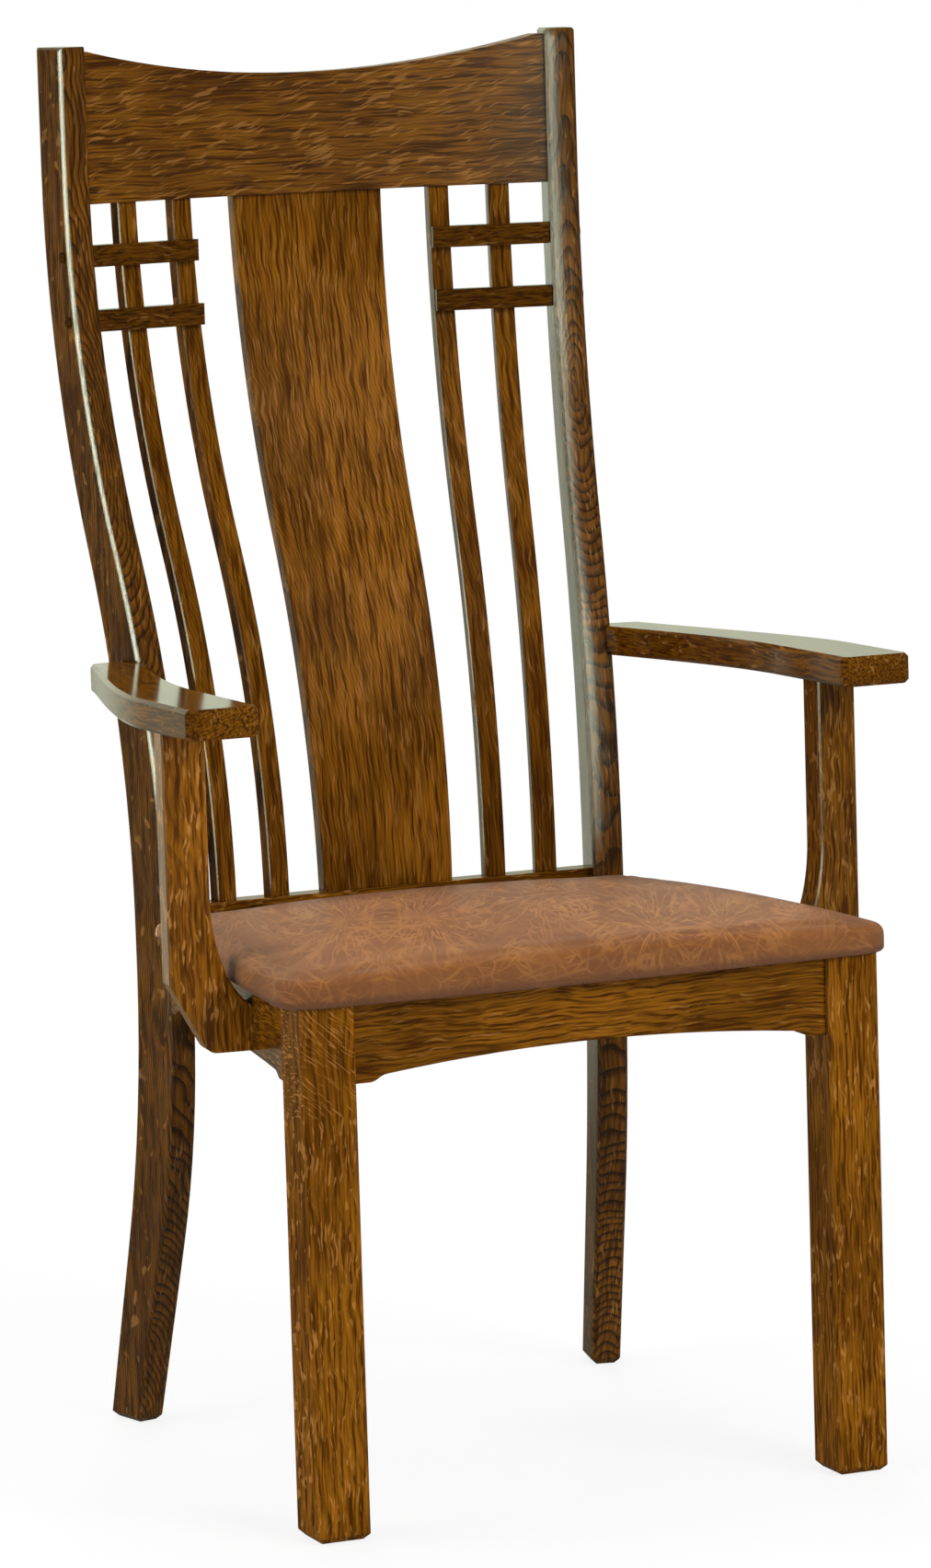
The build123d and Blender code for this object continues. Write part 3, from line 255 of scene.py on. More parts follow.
@dataclass(frozen=True)
class OakFinish:
    """Oak under a brown stain and a semi-gloss lacquer, for one board.

    Attributes:
        lie: how the board lies in the chair.
        cut: how it was sawn.
        seed: which part of the log it comes from.
        ray_share: how much of the face the pale ray flecks cover.
        ray_lean: how far the flecks lean from the grain, in radians.
        ray_sweep: how strongly the flecks swing out above a height.
        sweep_from: that height, in metres.
        tone: how light the stain came out.
        gold: how golden it came out.
        gloss: roughness of the lacquer.
        lacquer: how thick the lacquer lies, from 0 to 1.
        lacquer_bend: how strongly the lacquer bends light, which sets how much it mirrors.
        ring_mark: how dark the early wood of a ring is.
        ray_strength: how pale the flecks are.
        ray_stretch: a fleck's thickness over its length.
        ray_fineness: flecks per metre across.
        ray_sway: how far the flecks stray from the grain, in metres.
        ray_sways_per_metre: how often they do.
        ray_patches_per_metre: patches of flecks.
        deep_colour: the darkest fibres.
        body_colour: the wood between them.
        gold_colour: where the stain came out golden.
        ray_colour: the flecks.
        pore_colour: pores and early wood.
        rounding: radius over which edges look sanded round, in metres.
        rubbed: how much the wood itself mirrors, in place of the lacquer, which shows its rounded edges.
        depth_grain: how fine the grain is through the board's thickness.
        log_shift: how far the log's middle is moved across and backwards, in metres.
        ring_width: distance between growth rings, in metres.
        taper: how fast the rings close up the board, as a slope.
        sway: how far the grain strays, in metres.
        sways_per_metre: how often it does.
        pores_per_metre: pores across the face.
        fibres_per_metre: fibres across the face.
        clouds_per_metre: broad light and dark patches.
        pore_depth: how deep the pores are, in metres.
    """

    lie: Lie
    cut: Cut = Cut.QUARTER
    seed: float = 0.0
    ray_share: float = 1.0
    ray_lean: float = 0.0
    ray_sweep: float = 0.0
    sweep_from: float = 0.0
    tone: float = 1.0
    gold: float = 0.5
    gloss: float = 0.16
    lacquer: float = 0.75
    lacquer_bend: float = 1.34
    ring_mark: float = 0.30
    ray_strength: float = 0.42
    ray_stretch: float = 0.15
    ray_fineness: float = 420.0
    ray_sway: float = 0.0035
    ray_sways_per_metre: float = 55.0
    ray_patches_per_metre: float = 48.0
    deep_colour: Colour = stain(66, 34, 2)
    body_colour: Colour = stain(104, 62, 6)
    gold_colour: Colour = stain(140, 88, 14)
    ray_colour: Colour = stain(172, 120, 60)
    pore_colour: Colour = stain(34, 16, 2)
    rounding: float = 0.0015
    rubbed: float = 0.0
    depth_grain: float = 1.0
    log_shift: tuple[float, float] = (0.0, 0.0)
    ring_width: float = 0.0026
    taper: float = 0.045
    sway: float = 0.004
    sways_per_metre: float = 24.0
    pores_per_metre: float = 900.0
    fibres_per_metre: float = 430.0
    clouds_per_metre: float = 15.0
    pore_depth: float = 0.00016

    def material(self, name: str) -> bpy.types.Material:
        """The finish as a material of the given name."""
        fixed = {
            "IOR": 1.5,
            "Specular IOR Level": self.rubbed,
            "Coat Weight": self.lacquer,
            "Coat Roughness": self.gloss,
            "Coat IOR": self.lacquer_bend,
        }
        return surface(name, self._figure, fixed)

    def _figure(self, sheet: Sheet) -> dict[str, Any]:
        """Works out the grain, pores, rays and stain of the board.

        Growth rings are the whole-number steps of the distance from the log's middle line over
        the ring width, with the line leaning by the taper. Pores and fibres are noises stretched
        along the grain. Every soft step runs between two values of a noise from 0 to 1.

        Args:
            sheet: the material's node tree.

        Returns:
            The varying sockets of the shader.
        """
        shift = (0.37 * self.seed, 0.61 * self.seed, 0.83 * self.seed)
        turned = sheet.map(sheet.place(), turn=self.lie.value)
        sown = sheet.vector("ADD", turned, shift)
        flow = sheet.wander(sown, self.sways_per_metre, self.sway)
        x, y, z = sheet.axes(flow)
        height = z - shift[2]
        across, behind = self.cut.value
        side = x - (shift[0] + self.log_shift[0] - across)
        depth = y - (shift[1] + self.log_shift[1] - behind)
        rings = (side * side + depth * depth) ** 0.5 + height * self.taper
        ring = (rings / self.ring_width).part()
        early = ring.between(0.35, 0.92) * ring.between(1.0, 0.94)
        drawn = sheet.map(sown, scale=(1.0, self.depth_grain, 0.035))
        fine = sheet.noise(drawn, self.pores_per_metre, 0.0)
        pores = fine.between(0.55, 0.74) * (0.5 + early * 0.5)
        fibre = sheet.noise(sheet.map(flow, scale=(1.0, self.depth_grain, 0.045)), self.fibres_per_metre)
        cloud = sheet.noise(sheet.map(sown, scale=(1.0, 1.0, 0.4)), self.clouds_per_metre, 1.0)
        colour = sheet.mixed(fibre.between(0.30, 0.72), self.deep_colour, self.body_colour)
        glow = (cloud.between(0.34, 0.66) * 0.8 + 0.2) * fibre.between(0.34, 0.62) * self.gold
        colour = sheet.mixed(glow, colour, self.gold_colour)
        colour = sheet.mixed(early * self.ring_mark, colour, self.pore_colour)
        colour = sheet.mixed(pores * 0.50, colour, self.pore_colour)
        if self.ray_share > 0.0:
            colour = sheet.mixed(self._rays(sheet, sown, flow, height), colour, self.ray_colour)
        level = (0.88 + 0.24 * cloud) * self.tone
        return {
            "Base Color": sheet.lengthened(colour, level),
            "Roughness": (self.gloss if self.rubbed > 0.0 else 0.44) + pores * 0.18,
            "Normal": sheet.bump(fine, self.pore_depth, 0.35, self.rounding),
        }

    def _rays(self, sheet: Sheet, sown: Wire, flow: Wire, height: Wire) -> Wire:
        """The pale flecks: peaks of a noise stretched along their direction, kept inside broad patches.

        Args:
            sheet: the material's node tree.
            sown: the board's coordinates.
            flow: the same, gently pushed about.
            height: distance along the grain.

        Returns:
            A value from 0 to the fleck's strength.
        """
        swing = (height - self.sweep_from).most(0.0) * self.ray_sweep
        bent = sheet.wander(flow, self.ray_sways_per_metre, self.ray_sway)
        moved = sheet.vector("ADD", bent, sheet.joined(swing))
        leant = sheet.map(moved, turn=(0.0, self.ray_lean, 0.0))
        drawn = sheet.map(leant, scale=(1.0, 0.5 * self.depth_grain, self.ray_stretch))
        bands = sheet.noise(drawn, self.ray_fineness, 1.0)
        where = sheet.noise(sheet.map(sown, scale=(1.0, 1.0, 0.6)), self.ray_patches_per_metre, 1.0)
        edge = 0.66 - 0.07 * self.ray_share
        strokes = (bands + 0.30 * (where - 0.5)).between(edge, edge + 0.10)
        return strokes * self.ray_strength


@dataclass(frozen=True)
class LeatherFinish:
    """Brown leather with golden creases that run together in webs and stars.

    Attributes:
        body_colour: the hide between creases.
        dark_colour: the hide where it turns under.
        vein_colour: the creases.
        lay_angle: how far the hide is turned on the seat, in radians.
        stretch: how much the creases are drawn out from front to back, as a share.
        mirror_from: where a fold of the doubled hide lay, in metres.
        mirror_span: width after which the creases run back, in metres.
        webs: each web's turn in radians, cells per metre, line width as a share of a cell, strength.
        star_places: where creases run together, on the mirrored strip, in metres.
        star_reach: how far a star's creases run, in metres.
        star_core: how far they are full, in metres.
        crease_angles: directions of the long creases on the strip, in radians.
        crease_stretch: a long crease's width over its length.
        creases_per_metre: long creases, across them.
        crease_width: a crease's width, as a share of the noise that it lies in.
        pores_per_metre: the grain's hollows.
        pore_depth: how deep they are, in metres.
    """

    body_colour: Colour = stain(130, 80, 41)
    # dark_colour: the grain's hollows, and the painted shade under the seat, along the rim and towards the
    # rear.
    dark_colour: Colour = stain(92, 58, 36)
    vein_colour: Colour = stain(186, 125, 63)
    lay_angle: float = math.radians(23.0)
    stretch: float = 0.24
    mirror_from: float = -0.055
    mirror_span: float = 0.24
    webs: tuple[tuple[float, float, float, float], ...] = (
        (0.0, 19.0, 0.035, 0.9),
        (0.7, 40.0, 0.060, 0.7),
        (1.9, 95.0, 0.090, 0.4),
    )
    star_places: tuple[tuple[float, float], ...] = ((0.128, 0.452), (0.030, 0.425), (0.215, 0.405))
    star_reach: float = 0.085
    star_core: float = 0.010
    crease_angles: tuple[float, ...] = (0.30, -0.35, 0.75, -0.85, 1.35)
    crease_stretch: float = 0.11
    creases_per_metre: float = 75.0
    crease_width: float = 0.034
    pores_per_metre: float = 700.0
    pore_depth: float = 0.00030

    def material(self, name: str) -> bpy.types.Material:
        """The finish as a material of the given name."""
        fixed = {"IOR": 1.42, "Specular IOR Level": 0.28, "Sheen Weight": 0.06, "Sheen Roughness": 0.5}
        return surface(name, self._hide, fixed)

    def _hide(self, sheet: Sheet) -> dict[str, Any]:
        """Works out creases, grain, and the painted shade under the seat, along the rim and towards the rear.

        A web crease is the thin band next to the borders of scattered cells whose coordinates are
        pushed about. A star crease is a thin band in the angle round a place, fading outwards.

        Args:
            sheet: the material's node tree.

        Returns:
            The varying sockets of the shader.
        """
        place = sheet.place()
        laid = sheet.map(place, turn=(0.0, 0.0, self.lay_angle))
        x, y, z = sheet.axes(laid)
        flat = sheet.joined((x - self.mirror_from).mirrored(self.mirror_span), y * self.stretch + z)
        pushed = sheet.wander(sheet.wander(flat, 26.0, 0.005, 2.0), 120.0, 0.0014, 1.0)
        lines = [self._web(sheet, pushed, *web) for web in self.webs]
        lines += [self._crease(sheet, pushed, *crease) for crease in enumerate(self.crease_angles)]
        stars = [self._star(sheet, pushed, *centre) for centre in self.star_places]
        fade = sheet.noise(flat, 34.0, 2.0).between(0.30, 0.66)
        veins = (reduce(Wire.most, lines) * (0.2 + 0.8 * fade)).most(reduce(Wire.most, stars))
        # Painted shade read from the cover's points: darker under the seat, along the rim and towards the
        # rear.
        edge = sheet.node("Attribute", {"attribute_name": "painted_shade"}, out="Fac")
        cloud = sheet.noise(place, 16.0, 2.0)
        grain = sheet.noise(place, self.pores_per_metre, 2.0, 0.7)
        colour = sheet.mixed(cloud.between(0.30, 0.75) * 0.22, self.body_colour, self.vein_colour)
        colour = sheet.mixed(veins * 0.78, colour, self.vein_colour)
        colour = sheet.mixed(grain.between(0.62, 0.40) * 0.16, colour, self.dark_colour)
        # Painted shade darkens the hide.
        colour = sheet.mixed(edge * 0.80, colour, self.dark_colour)
        relief = sheet.bump(grain, self.pore_depth, 0.5)
        return {"Base Color": colour, "Roughness": 0.50 + 0.16 * grain - veins * 0.05, "Normal": relief}

    def _web(
        self, sheet: Sheet, place: Wire, turn: float, scale: float, width: float, strength: float
    ) -> Wire:
        """Thin bands next to the borders of scattered cells.

        Args:
            sheet: the material's node tree.
            place: flat coordinates.
            turn: how far the cells are turned, in radians.
            scale: cells per metre.
            width: the band's width as a share of a cell.
            strength: the bands' full strength.

        Returns:
            The bands' strength.
        """
        settings = {"feature": "DISTANCE_TO_EDGE", "voronoi_dimensions": "2D"}
        turned = sheet.map(place, turn=(0.0, 0.0, turn))
        border = sheet.node("TexVoronoi", settings, {"Vector": turned, "Scale": scale})
        patches = sheet.noise(turned, scale * 0.8, 1.0).between(0.35, 0.62)
        return border.between(width, 0.0) * patches * strength

    def _crease(self, sheet: Sheet, place: Wire, number: int, angle: float) -> Wire:
        """Long thin creases in one direction, where a stretched noise is near its middle, in patches.

        Args:
            sheet: the material's node tree.
            place: flat coordinates.
            number: which set of creases this is.
            angle: their direction, in radians.

        Returns:
            The creases' strength.
        """
        turned = sheet.map(place, turn=(0.0, 0.0, angle))
        shift = (float(number), 0.0, float(number))
        drawn = sheet.map(turned, shift=shift, scale=(self.crease_stretch, 1.0, 1.0))
        lines = (sheet.noise(drawn, self.creases_per_metre, 1.0) - 0.5).size().between(self.crease_width, 0.0)
        return lines * sheet.noise(place, 30.0 + 4.0 * number, 1.0).between(0.47, 0.60) * 0.85

    def _star(self, sheet: Sheet, place: Wire, across: float, back: float) -> Wire:
        """Creases that run out from one place.

        Args:
            sheet: the material's node tree.
            place: flat coordinates.
            across: the place's distance across the mirrored strip.
            back: its distance from the front.

        Returns:
            The creases' strength.
        """
        centred = sheet.map(place, shift=(-across, -back, 0.0))
        x, y, _ = sheet.axes(centred)
        far = (x * x + y * y) ** 0.5
        polar = sheet.joined(y.angle(x), far * 6.0, across)
        lines = (sheet.noise(polar, 4.6, 1.0) - 0.5).size().between(0.046, 0.0)
        return lines * far.between(self.star_reach, self.star_core)


@dataclass(frozen=True)
class BareWoodFinish:
    """Bare, unfinished wood of a hidden part, with plain grain and thin plies where it has them.

    Attributes:
        light_colour: between the fibres.
        dark_colour: the fibres.
        lie: how the piece lies in the chair.
        ply: thickness of one ply, or 0 for solid wood.
    """

    light_colour: Colour = stain(206, 172, 124)
    dark_colour: Colour = stain(158, 118, 72)
    lie: Lie = Lie.UPRIGHT
    ply: float = 0.0

    def material(self, name: str) -> bpy.types.Material:
        """The finish as a material of the given name."""
        return surface(name, self._wood, {"IOR": 1.4, "Specular IOR Level": 0.25})

    def _wood(self, sheet: Sheet) -> dict[str, Any]:
        """Stretched noise for the grain, and alternate dark plies up the thickness.

        Args:
            sheet: the material's node tree.

        Returns:
            The varying sockets of the shader.
        """
        place = sheet.place()
        turned = sheet.map(place, turn=self.lie.value)
        grain = sheet.noise(sheet.map(turned, scale=(1.0, 1.0, 0.07)), 240.0, 3.0, 0.6)
        cloud = sheet.noise(turned, 12.0, 2.0)
        shade = grain.between(0.35, 0.75) * (0.55 + 0.45 * cloud)
        colour = sheet.mixed(shade, self.light_colour, self.dark_colour)
        if self.ply > 0.0:
            height = sheet.axes(place)[2]
            layer = (height / (2.0 * self.ply)).part().between(0.46, 0.54)
            colour = sheet.mixed(layer * 0.45, colour, self.dark_colour)
        return {
            "Base Color": colour,
            "Roughness": 0.62 + 0.2 * grain,
            "Normal": sheet.bump(grain, 0.0003, 0.4),
        }


@dataclass(frozen=True)
class ClothFinish:
    """Thin bonded cloth, or foam, with a felted or pored face.

    Attributes:
        light_colour: raised fibres.
        dark_colour: hollows between them.
        fineness: blobs per metre.
        depth: how deep the hollows are, in metres.
    """

    light_colour: Colour
    dark_colour: Colour
    fineness: float
    depth: float

    def material(self, name: str) -> bpy.types.Material:
        """The finish as a material of the given name."""
        return surface(name, self._felt, {"IOR": 1.4, "Specular IOR Level": 0.1, "Sheen Weight": 0.1})

    def _felt(self, sheet: Sheet) -> dict[str, Any]:
        """Fine noise over broad noise, for both the colour and the relief.

        Args:
            sheet: the material's node tree.

        Returns:
            The varying sockets of the shader.
        """
        place = sheet.place()
        fine = sheet.noise(place, self.fineness, 3.0, 0.7)
        broad = sheet.noise(place, self.fineness * 0.02, 2.0)
        shade = (fine * 0.7 + broad * 0.3).between(0.35, 0.65)
        return {
            "Base Color": sheet.mixed(shade, self.dark_colour, self.light_colour),
            "Roughness": 0.85 + 0.1 * fine,
            "Normal": sheet.bump(fine, self.depth, 0.6),
        }


@dataclass(frozen=True)
class SteelFinish:
    """Zinc-plated steel with faint marks of the driver.

    Attributes:
        bright_colour: clean plating.
        dull_colour: rubbed plating.
    """

    bright_colour: Colour = stain(206, 206, 202)
    dull_colour: Colour = stain(150, 150, 148)

    def material(self, name: str) -> bpy.types.Material:
        """The finish as a material of the given name."""
        return surface(name, self._plating, {"Metallic": 1.0})

    def _plating(self, sheet: Sheet) -> dict[str, Any]:
        """Two noises: spangles in the colour and fine scratches in the roughness.

        Args:
            sheet: the material's node tree.

        Returns:
            The varying sockets of the shader.
        """
        place = sheet.place()
        spangle = sheet.noise(place, 420.0, 2.0)
        scratch = sheet.noise(sheet.map(place, scale=(1.0, 1.0, 0.1)), 2600.0, 2.0)
        return {
            "Base Color": sheet.mixed(spangle.between(0.35, 0.7), self.bright_colour, self.dull_colour),
            "Roughness": 0.24 + 0.22 * scratch,
            "Normal": sheet.bump(scratch, 0.00004, 0.3),
        }


def dress(nodes: tuple[str, ...], material: bpy.types.Material) -> None:
    """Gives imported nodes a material.

    Args:
        nodes: the nodes' names.
        material: what they are made of.
    """
    for name in nodes:
        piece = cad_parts[name]
        for holder in piece.material_slots:
            holder.material = material
        if not piece.material_slots:
            piece.data.materials.append(material)


def sawn(finish: OakFinish, seeds: dict[str, float]) -> dict[str, OakFinish]:
    """One finish for several boards, each from its own part of the log."""
    return {name: replace(finish, seed=seed) for name, seed in seeds.items()}


@dataclass
class Woodwork:
    """A sub-assembly whose boards are oak, each sawn from its own part of the log.

    Attributes:
        pieces: the nodes dressed so far.
    """

    pieces: list[str] = field(default_factory=list)

    def boards(self) -> dict[str, OakFinish]:
        """Each oak piece with the finish of its board."""
        raise NotImplementedError

    def build(self) -> None:
        """Dresses every board."""
        for name, finish in self.boards().items():
            dress((name,), finish.material(f"oak_{name}"))
            self.pieces.append(name)


@dataclass
class Back(Woodwork):
    """The chair's back: posts, crest rail, slats, lattice bars and the plugs over their screws.

    Attributes:
        post_tone: how light the posts' stain came out.
        crest_tone: the same for the crest rail.
        slat_tone: the same for the broad slat.
        narrow_share: the narrow slats' tone as a share of it.
        bar_share: the same for the lattice bars.
    """

    post_tone: float = 0.98
    crest_tone: float = 0.95
    slat_tone: float = 1.10
    narrow_share: float = 0.92
    bar_share: float = 0.56

    def boards(self) -> dict[str, OakFinish]:
        """Each oak piece of the back with the finish of its board.

        Returns:
            The finishes by the nodes' names.
        """
        slat = OakFinish(
            Lie.UPRIGHT, seed=4.1, gold=0.8, tone=self.slat_tone,
            ray_strength=0.30, ray_fineness=600.0, ray_stretch=0.06, depth_grain=0.10,
        )
        narrow = OakFinish(
            Lie.UPRIGHT, tone=self.slat_tone * self.narrow_share,
            ray_share=0.6, ray_strength=0.34, ray_stretch=0.10, depth_grain=0.15,
        )
        bar = OakFinish(Lie.ACROSS, tone=self.slat_tone * self.bar_share, ray_share=0.4, gold=0.3)
        crest = OakFinish(
            Lie.ACROSS, seed=3.7, tone=self.crest_tone, lacquer=0.0, rubbed=0.22, gloss=0.30,
            ray_lean=0.28, ray_strength=0.38, ray_fineness=500.0, ray_stretch=0.10, depth_grain=0.15,
        )
        post = OakFinish(
            Lie.UPRIGHT, Cut.FLAT, tone=self.post_tone, lacquer=0.0, rubbed=0.55,
            ray_share=0.15, ring_mark=0.85, depth_grain=0.4,
        )
        left = replace(post, seed=1.3, gold=0.35, rounding=0.003, log_shift=(-0.222, 0.255))
        right = replace(post, seed=2.9, gold=0.45, rounding=0.014, log_shift=(0.222, 0.265))
        slats = {"outer_slat_left": 5.3, "outer_slat_right": 6.7}
        slats |= {"inner_slat_left": 7.9, "inner_slat_right": 8.3}
        bars = {"upper_left": 9.1, "lower_left": 10.7, "upper_right": 11.9, "lower_right": 12.1}
        return {
            "back_post_left": left,
            "back_post_right": right,
            "crest_rail": crest,
            "centre_slat": slat,
            **sawn(narrow, slats),
            **sawn(bar, {f"lattice_bar_{place}": seed for place, seed in bars.items()}),
            "lattice_plugs": OakFinish(Lie.ACROSS, seed=13.3, tone=0.45, ray_share=0.0),
        }


@dataclass
class SeatFrame(Woodwork):
    """Front legs, apron and rails, with the blocks inside their corners.

    Attributes:
        leg_tone: how light the legs' stain came out.
        rail_tone: the same for the apron.
        dim_share: the other rails' tone as a share of it.
    """

    leg_tone: float = 1.34
    rail_tone: float = 1.10
    dim_share: float = 0.9

    def boards(self) -> dict[str, OakFinish]:
        """Each oak piece of the seat frame with the finish of its board.

        Returns:
            The finishes by the nodes' names.
        """
        leg = OakFinish(Lie.UPRIGHT, seed=22.9, tone=self.leg_tone, gold=0.6, lacquer=0.45, ray_share=0.7)
        swept = replace(
            leg, seed=21.3, ray_share=1.0, ray_fineness=520.0, depth_grain=0.5,
            ray_sweep=1.1, sweep_from=0.335,
        )
        side = OakFinish(Lie.ON_EDGE_BACKWARD, tone=self.rail_tone * self.dim_share, ray_share=0.5)
        apron = OakFinish(
            Lie.ACROSS, seed=23.7, tone=self.rail_tone, gold=0.7,
            ray_share=0.2, ray_strength=0.30, ray_stretch=0.08,
        )
        rear = OakFinish(Lie.ACROSS, seed=24.1, tone=self.rail_tone * self.dim_share, gold=0.6)
        return {
            "front_leg_left": swept,
            "front_leg_right": leg,
            "front_apron": apron,
            "rear_seat_rail": rear,
            **sawn(side, {"side_rail_left": 25.3, "side_rail_right": 26.7}),
        }

    def build(self) -> None:
        """Dresses the frame's boards and its hidden blocks."""
        super().build()
        corners = ("front_left", "front_right", "rear_left", "rear_right")
        blocks = tuple(f"corner_block_{corner}" for corner in corners)
        dress(blocks, BareWoodFinish(lie=Lie.ACROSS).material("bare_blocks"))
        self.pieces.extend(blocks)


@dataclass
class Arms(Woodwork):
    """The flat arms, the hooked supports under them and the dowels of their tails.

    Attributes:
        arm_tone: how light the arms' stain came out.
        support_tone: the same for the left support.
        right_share: the right support's tone as a share of the left one's.
    """

    arm_tone: float = 1.0
    support_tone: float = 1.75
    right_share: float = 0.56

    def boards(self) -> dict[str, OakFinish]:
        """Each oak piece of the arms with the finish of its board.

        Returns:
            The finishes by the nodes' names.
        """
        arm = OakFinish(
            Lie.FLAT_BACKWARD, Cut.RIFT, tone=self.arm_tone, gloss=0.11, lacquer=1.0,
            rounding=0.006, ray_share=0.35, ray_strength=0.4,
        )
        left = OakFinish(
            Lie.UPRIGHT, seed=33.7, tone=self.support_tone, gold=0.6,
            rounding=0.003, lacquer=1.0, lacquer_bend=1.42,
        )
        return {
            **sawn(arm, {"arm_left": 31.3, "arm_right": 32.9}),
            "arm_support_left": left,
            "arm_support_right": replace(left, seed=34.1, tone=self.support_tone * self.right_share),
        }

    def build(self) -> None:
        """Dresses the arms, their supports and the dowels."""
        super().build()
        dress(("arm_dowels",), BareWoodFinish(lie=Lie.FLAT_BACKWARD).material("bare_dowels"))


def read(rows: Any, what: str) -> np.ndarray:
    """Reads the three numbers that each row of a mesh keeps under a name.

    Args:
        rows: the mesh's vertices or normals.
        what: the name.

    Returns:
        One row of three for each of them.
    """
    values = np.empty(len(rows) * 3, dtype=np.float32)
    rows.foreach_get(what, values)
    return values.reshape(-1, 3)


@dataclass
class Seat:
    """The upholstered seat: a leather cover over foam on a board.

    Attributes:
        front_y: the front edge at the corners.
        rear_y: the rear edge.
        front_half: half the width at the front.
        rear_half: half the width at the rear.
        front_bow: how far the front edge bows out in its middle.
        front_corner: radius of the front corners in plan.
        rear_corner: radius of the rear corners in plan.
        low: height of the underside.
        crown: height of the crown over the underside.
        crown_radius: radius of the crowned top.
        crown_y: where the crown is highest.
        roll: radius of the upper edge.
        tuck: radius of the lower edge.
        return_width: how far the leather runs under the board.
        leather: its thickness.
        swell: how far the padding may push the cover out.
        slack: gap between the leather's inside and the board.
        around: points round each ring.
        rows_under: rings along the underside.
        rows_round: rings round each rolled edge.
        rows_over_top: rings over the crown.
        bow_share: how far towards the corners the front edge's bow is worked out.
        bow_points: points on it.
        bow_spare: points at each of its ends that the corners' arcs take the place of.
        arc_points: points round each corner.
        hem_step: way from the hem to the next ring of the underside.
        tuck_step: way from the underside's last ring to the tuck.
        last_ring: size of the last ring round the crown's middle, as a share of the rim.
        frames: steps of the padding's simulation.
        held_share: how far up the tuck the cover is held, as a share of its radius.
    """

    front_y: float = -0.28225
    rear_y: float = 0.11828
    front_half: float = 0.26363
    rear_half: float = 0.21920
    front_bow: float = 0.007
    front_corner: float = 0.026
    rear_corner: float = 0.012
    low: float = 0.4215
    crown: float = 0.031
    crown_radius: float = 4.2
    crown_y: float = -0.17725
    roll: float = 0.009
    tuck: float = 0.004
    return_width: float = 0.066
    leather: float = 0.0015
    swell: float = 0.003
    slack: float = 0.0004
    around: int = 220
    rows_under: int = 12
    rows_round: int = 7
    rows_over_top: int = 30
    bow_share: float = 0.93
    bow_points: int = 60
    bow_spare: int = 3
    arc_points: int = 20
    hem_step: float = 0.006
    tuck_step: float = 0.003
    last_ring: float = 0.015
    frames: int = 20
    held_share: float = 0.9

    def _arc(self, before: np.ndarray, corner: np.ndarray, after: np.ndarray, radius: float) -> np.ndarray:
        """Points of a corner's arc: the centre plus the radius turned from tangent to tangent.

        Args:
            before: a point on the edge that comes in.
            corner: the sharp corner.
            after: a point on the edge that goes out.
            radius: the arc's radius.

        Returns:
            The arc's points from edge to edge.
        """
        come = (before - corner) / np.linalg.norm(before - corner)
        leave = (after - corner) / np.linalg.norm(after - corner)
        half = 0.5 * math.acos(float(np.clip(come @ leave, -1.0, 1.0)))
        middle = (come + leave) / np.linalg.norm(come + leave)
        centre = corner + middle * radius / math.sin(half)
        first = corner + come * radius / math.tan(half) - centre
        last = corner + leave * radius / math.tan(half) - centre
        share = np.linspace(0.0, 1.0, self.arc_points)[:, None]
        span = math.pi - 2.0 * half
        turned = np.sin((1.0 - share) * span) * first + np.sin(share * span) * last
        return centre + turned / math.sin(span)

    def outline(self) -> tuple[np.ndarray, np.ndarray]:
        """The seat's plan as evenly spaced points.

        The front edge is a parabola through its bow, the other edges are straight, and arcs round
        the corners. The points are spread evenly along the whole length.

        Returns:
            The points, anticlockwise from above, and their outward directions.
        """
        share = np.linspace(-self.bow_share, self.bow_share, self.bow_points)
        bow = np.stack((share * self.front_half, self.front_y - self.front_bow * (1.0 - share**2)), 1)
        left, right = bow[0], bow[-1]
        front_left = np.array((-self.front_half, self.front_y))
        front_right = np.array((self.front_half, self.front_y))
        rear_left = np.array((-self.rear_half, self.rear_y))
        rear_right = np.array((self.rear_half, self.rear_y))
        runs = (
            bow[self.bow_spare : -self.bow_spare],
            self._arc(right, front_right, rear_right, self.front_corner),
            self._arc(front_right, rear_right, rear_left, self.rear_corner),
            self._arc(rear_right, rear_left, front_left, self.rear_corner),
            self._arc(rear_left, front_left, left, self.front_corner),
        )
        points = np.concatenate(runs)
        points = np.concatenate((points, points[:1]))
        steps = np.concatenate(((0.0,), np.cumsum(np.linalg.norm(np.diff(points, axis=0), axis=1))))
        wanted = np.linspace(0.0, steps[-1], self.around, endpoint=False)
        even = np.stack([np.interp(wanted, steps, points[:, axis]) for axis in (0, 1)], 1)
        along = np.roll(even, -1, axis=0) - np.roll(even, 1, axis=0)
        along /= np.linalg.norm(along, axis=1)[:, None]
        return even, np.stack((along[:, 1], -along[:, 0]), 1)

    def top(self, plan: np.ndarray) -> np.ndarray:
        """Height of the crown: its top less the square of the distance over twice its radius."""
        far = plan[..., 0] ** 2 + (plan[..., 1] - self.crown_y) ** 2
        return self.low + self.crown - far / (2.0 * self.crown_radius)

    def cover(self) -> tuple[np.ndarray, np.ndarray]:
        """The cover's grid of points, from the closed middle of the underside to the crown's middle.

        Each ring is the plan moved inwards: along the underside, round the tuck, up the side, round
        the roll and then over the crown, where the ring shrinks towards the middle instead. Painted
        shade darkens the hide where it turns under, and on the crown towards the rear and along the rim.

        Returns:
            Points by ring and place round the ring, and the painted shade at each point, full where it is
            turned under.
        """
        plan, out = self.outline()
        middle = np.array((0.0, 0.5 * (self.front_y + self.rear_y)))
        quarter = np.linspace(0.0, 0.5 * math.pi, self.rows_round)
        rings, turned = [], []

        def lay(ring: np.ndarray, height: Union[float, np.ndarray], under: float) -> None:
            """Adds a ring.

            Args:
                ring: its points in plan.
                height: its height, the same all round or by point.
                under: how much painted shade it carries, full where it is turned under.
            """
            tall = np.broadcast_to(height, (self.around, 1))
            rings.append(np.concatenate((ring, tall), 1))
            turned.append(under)

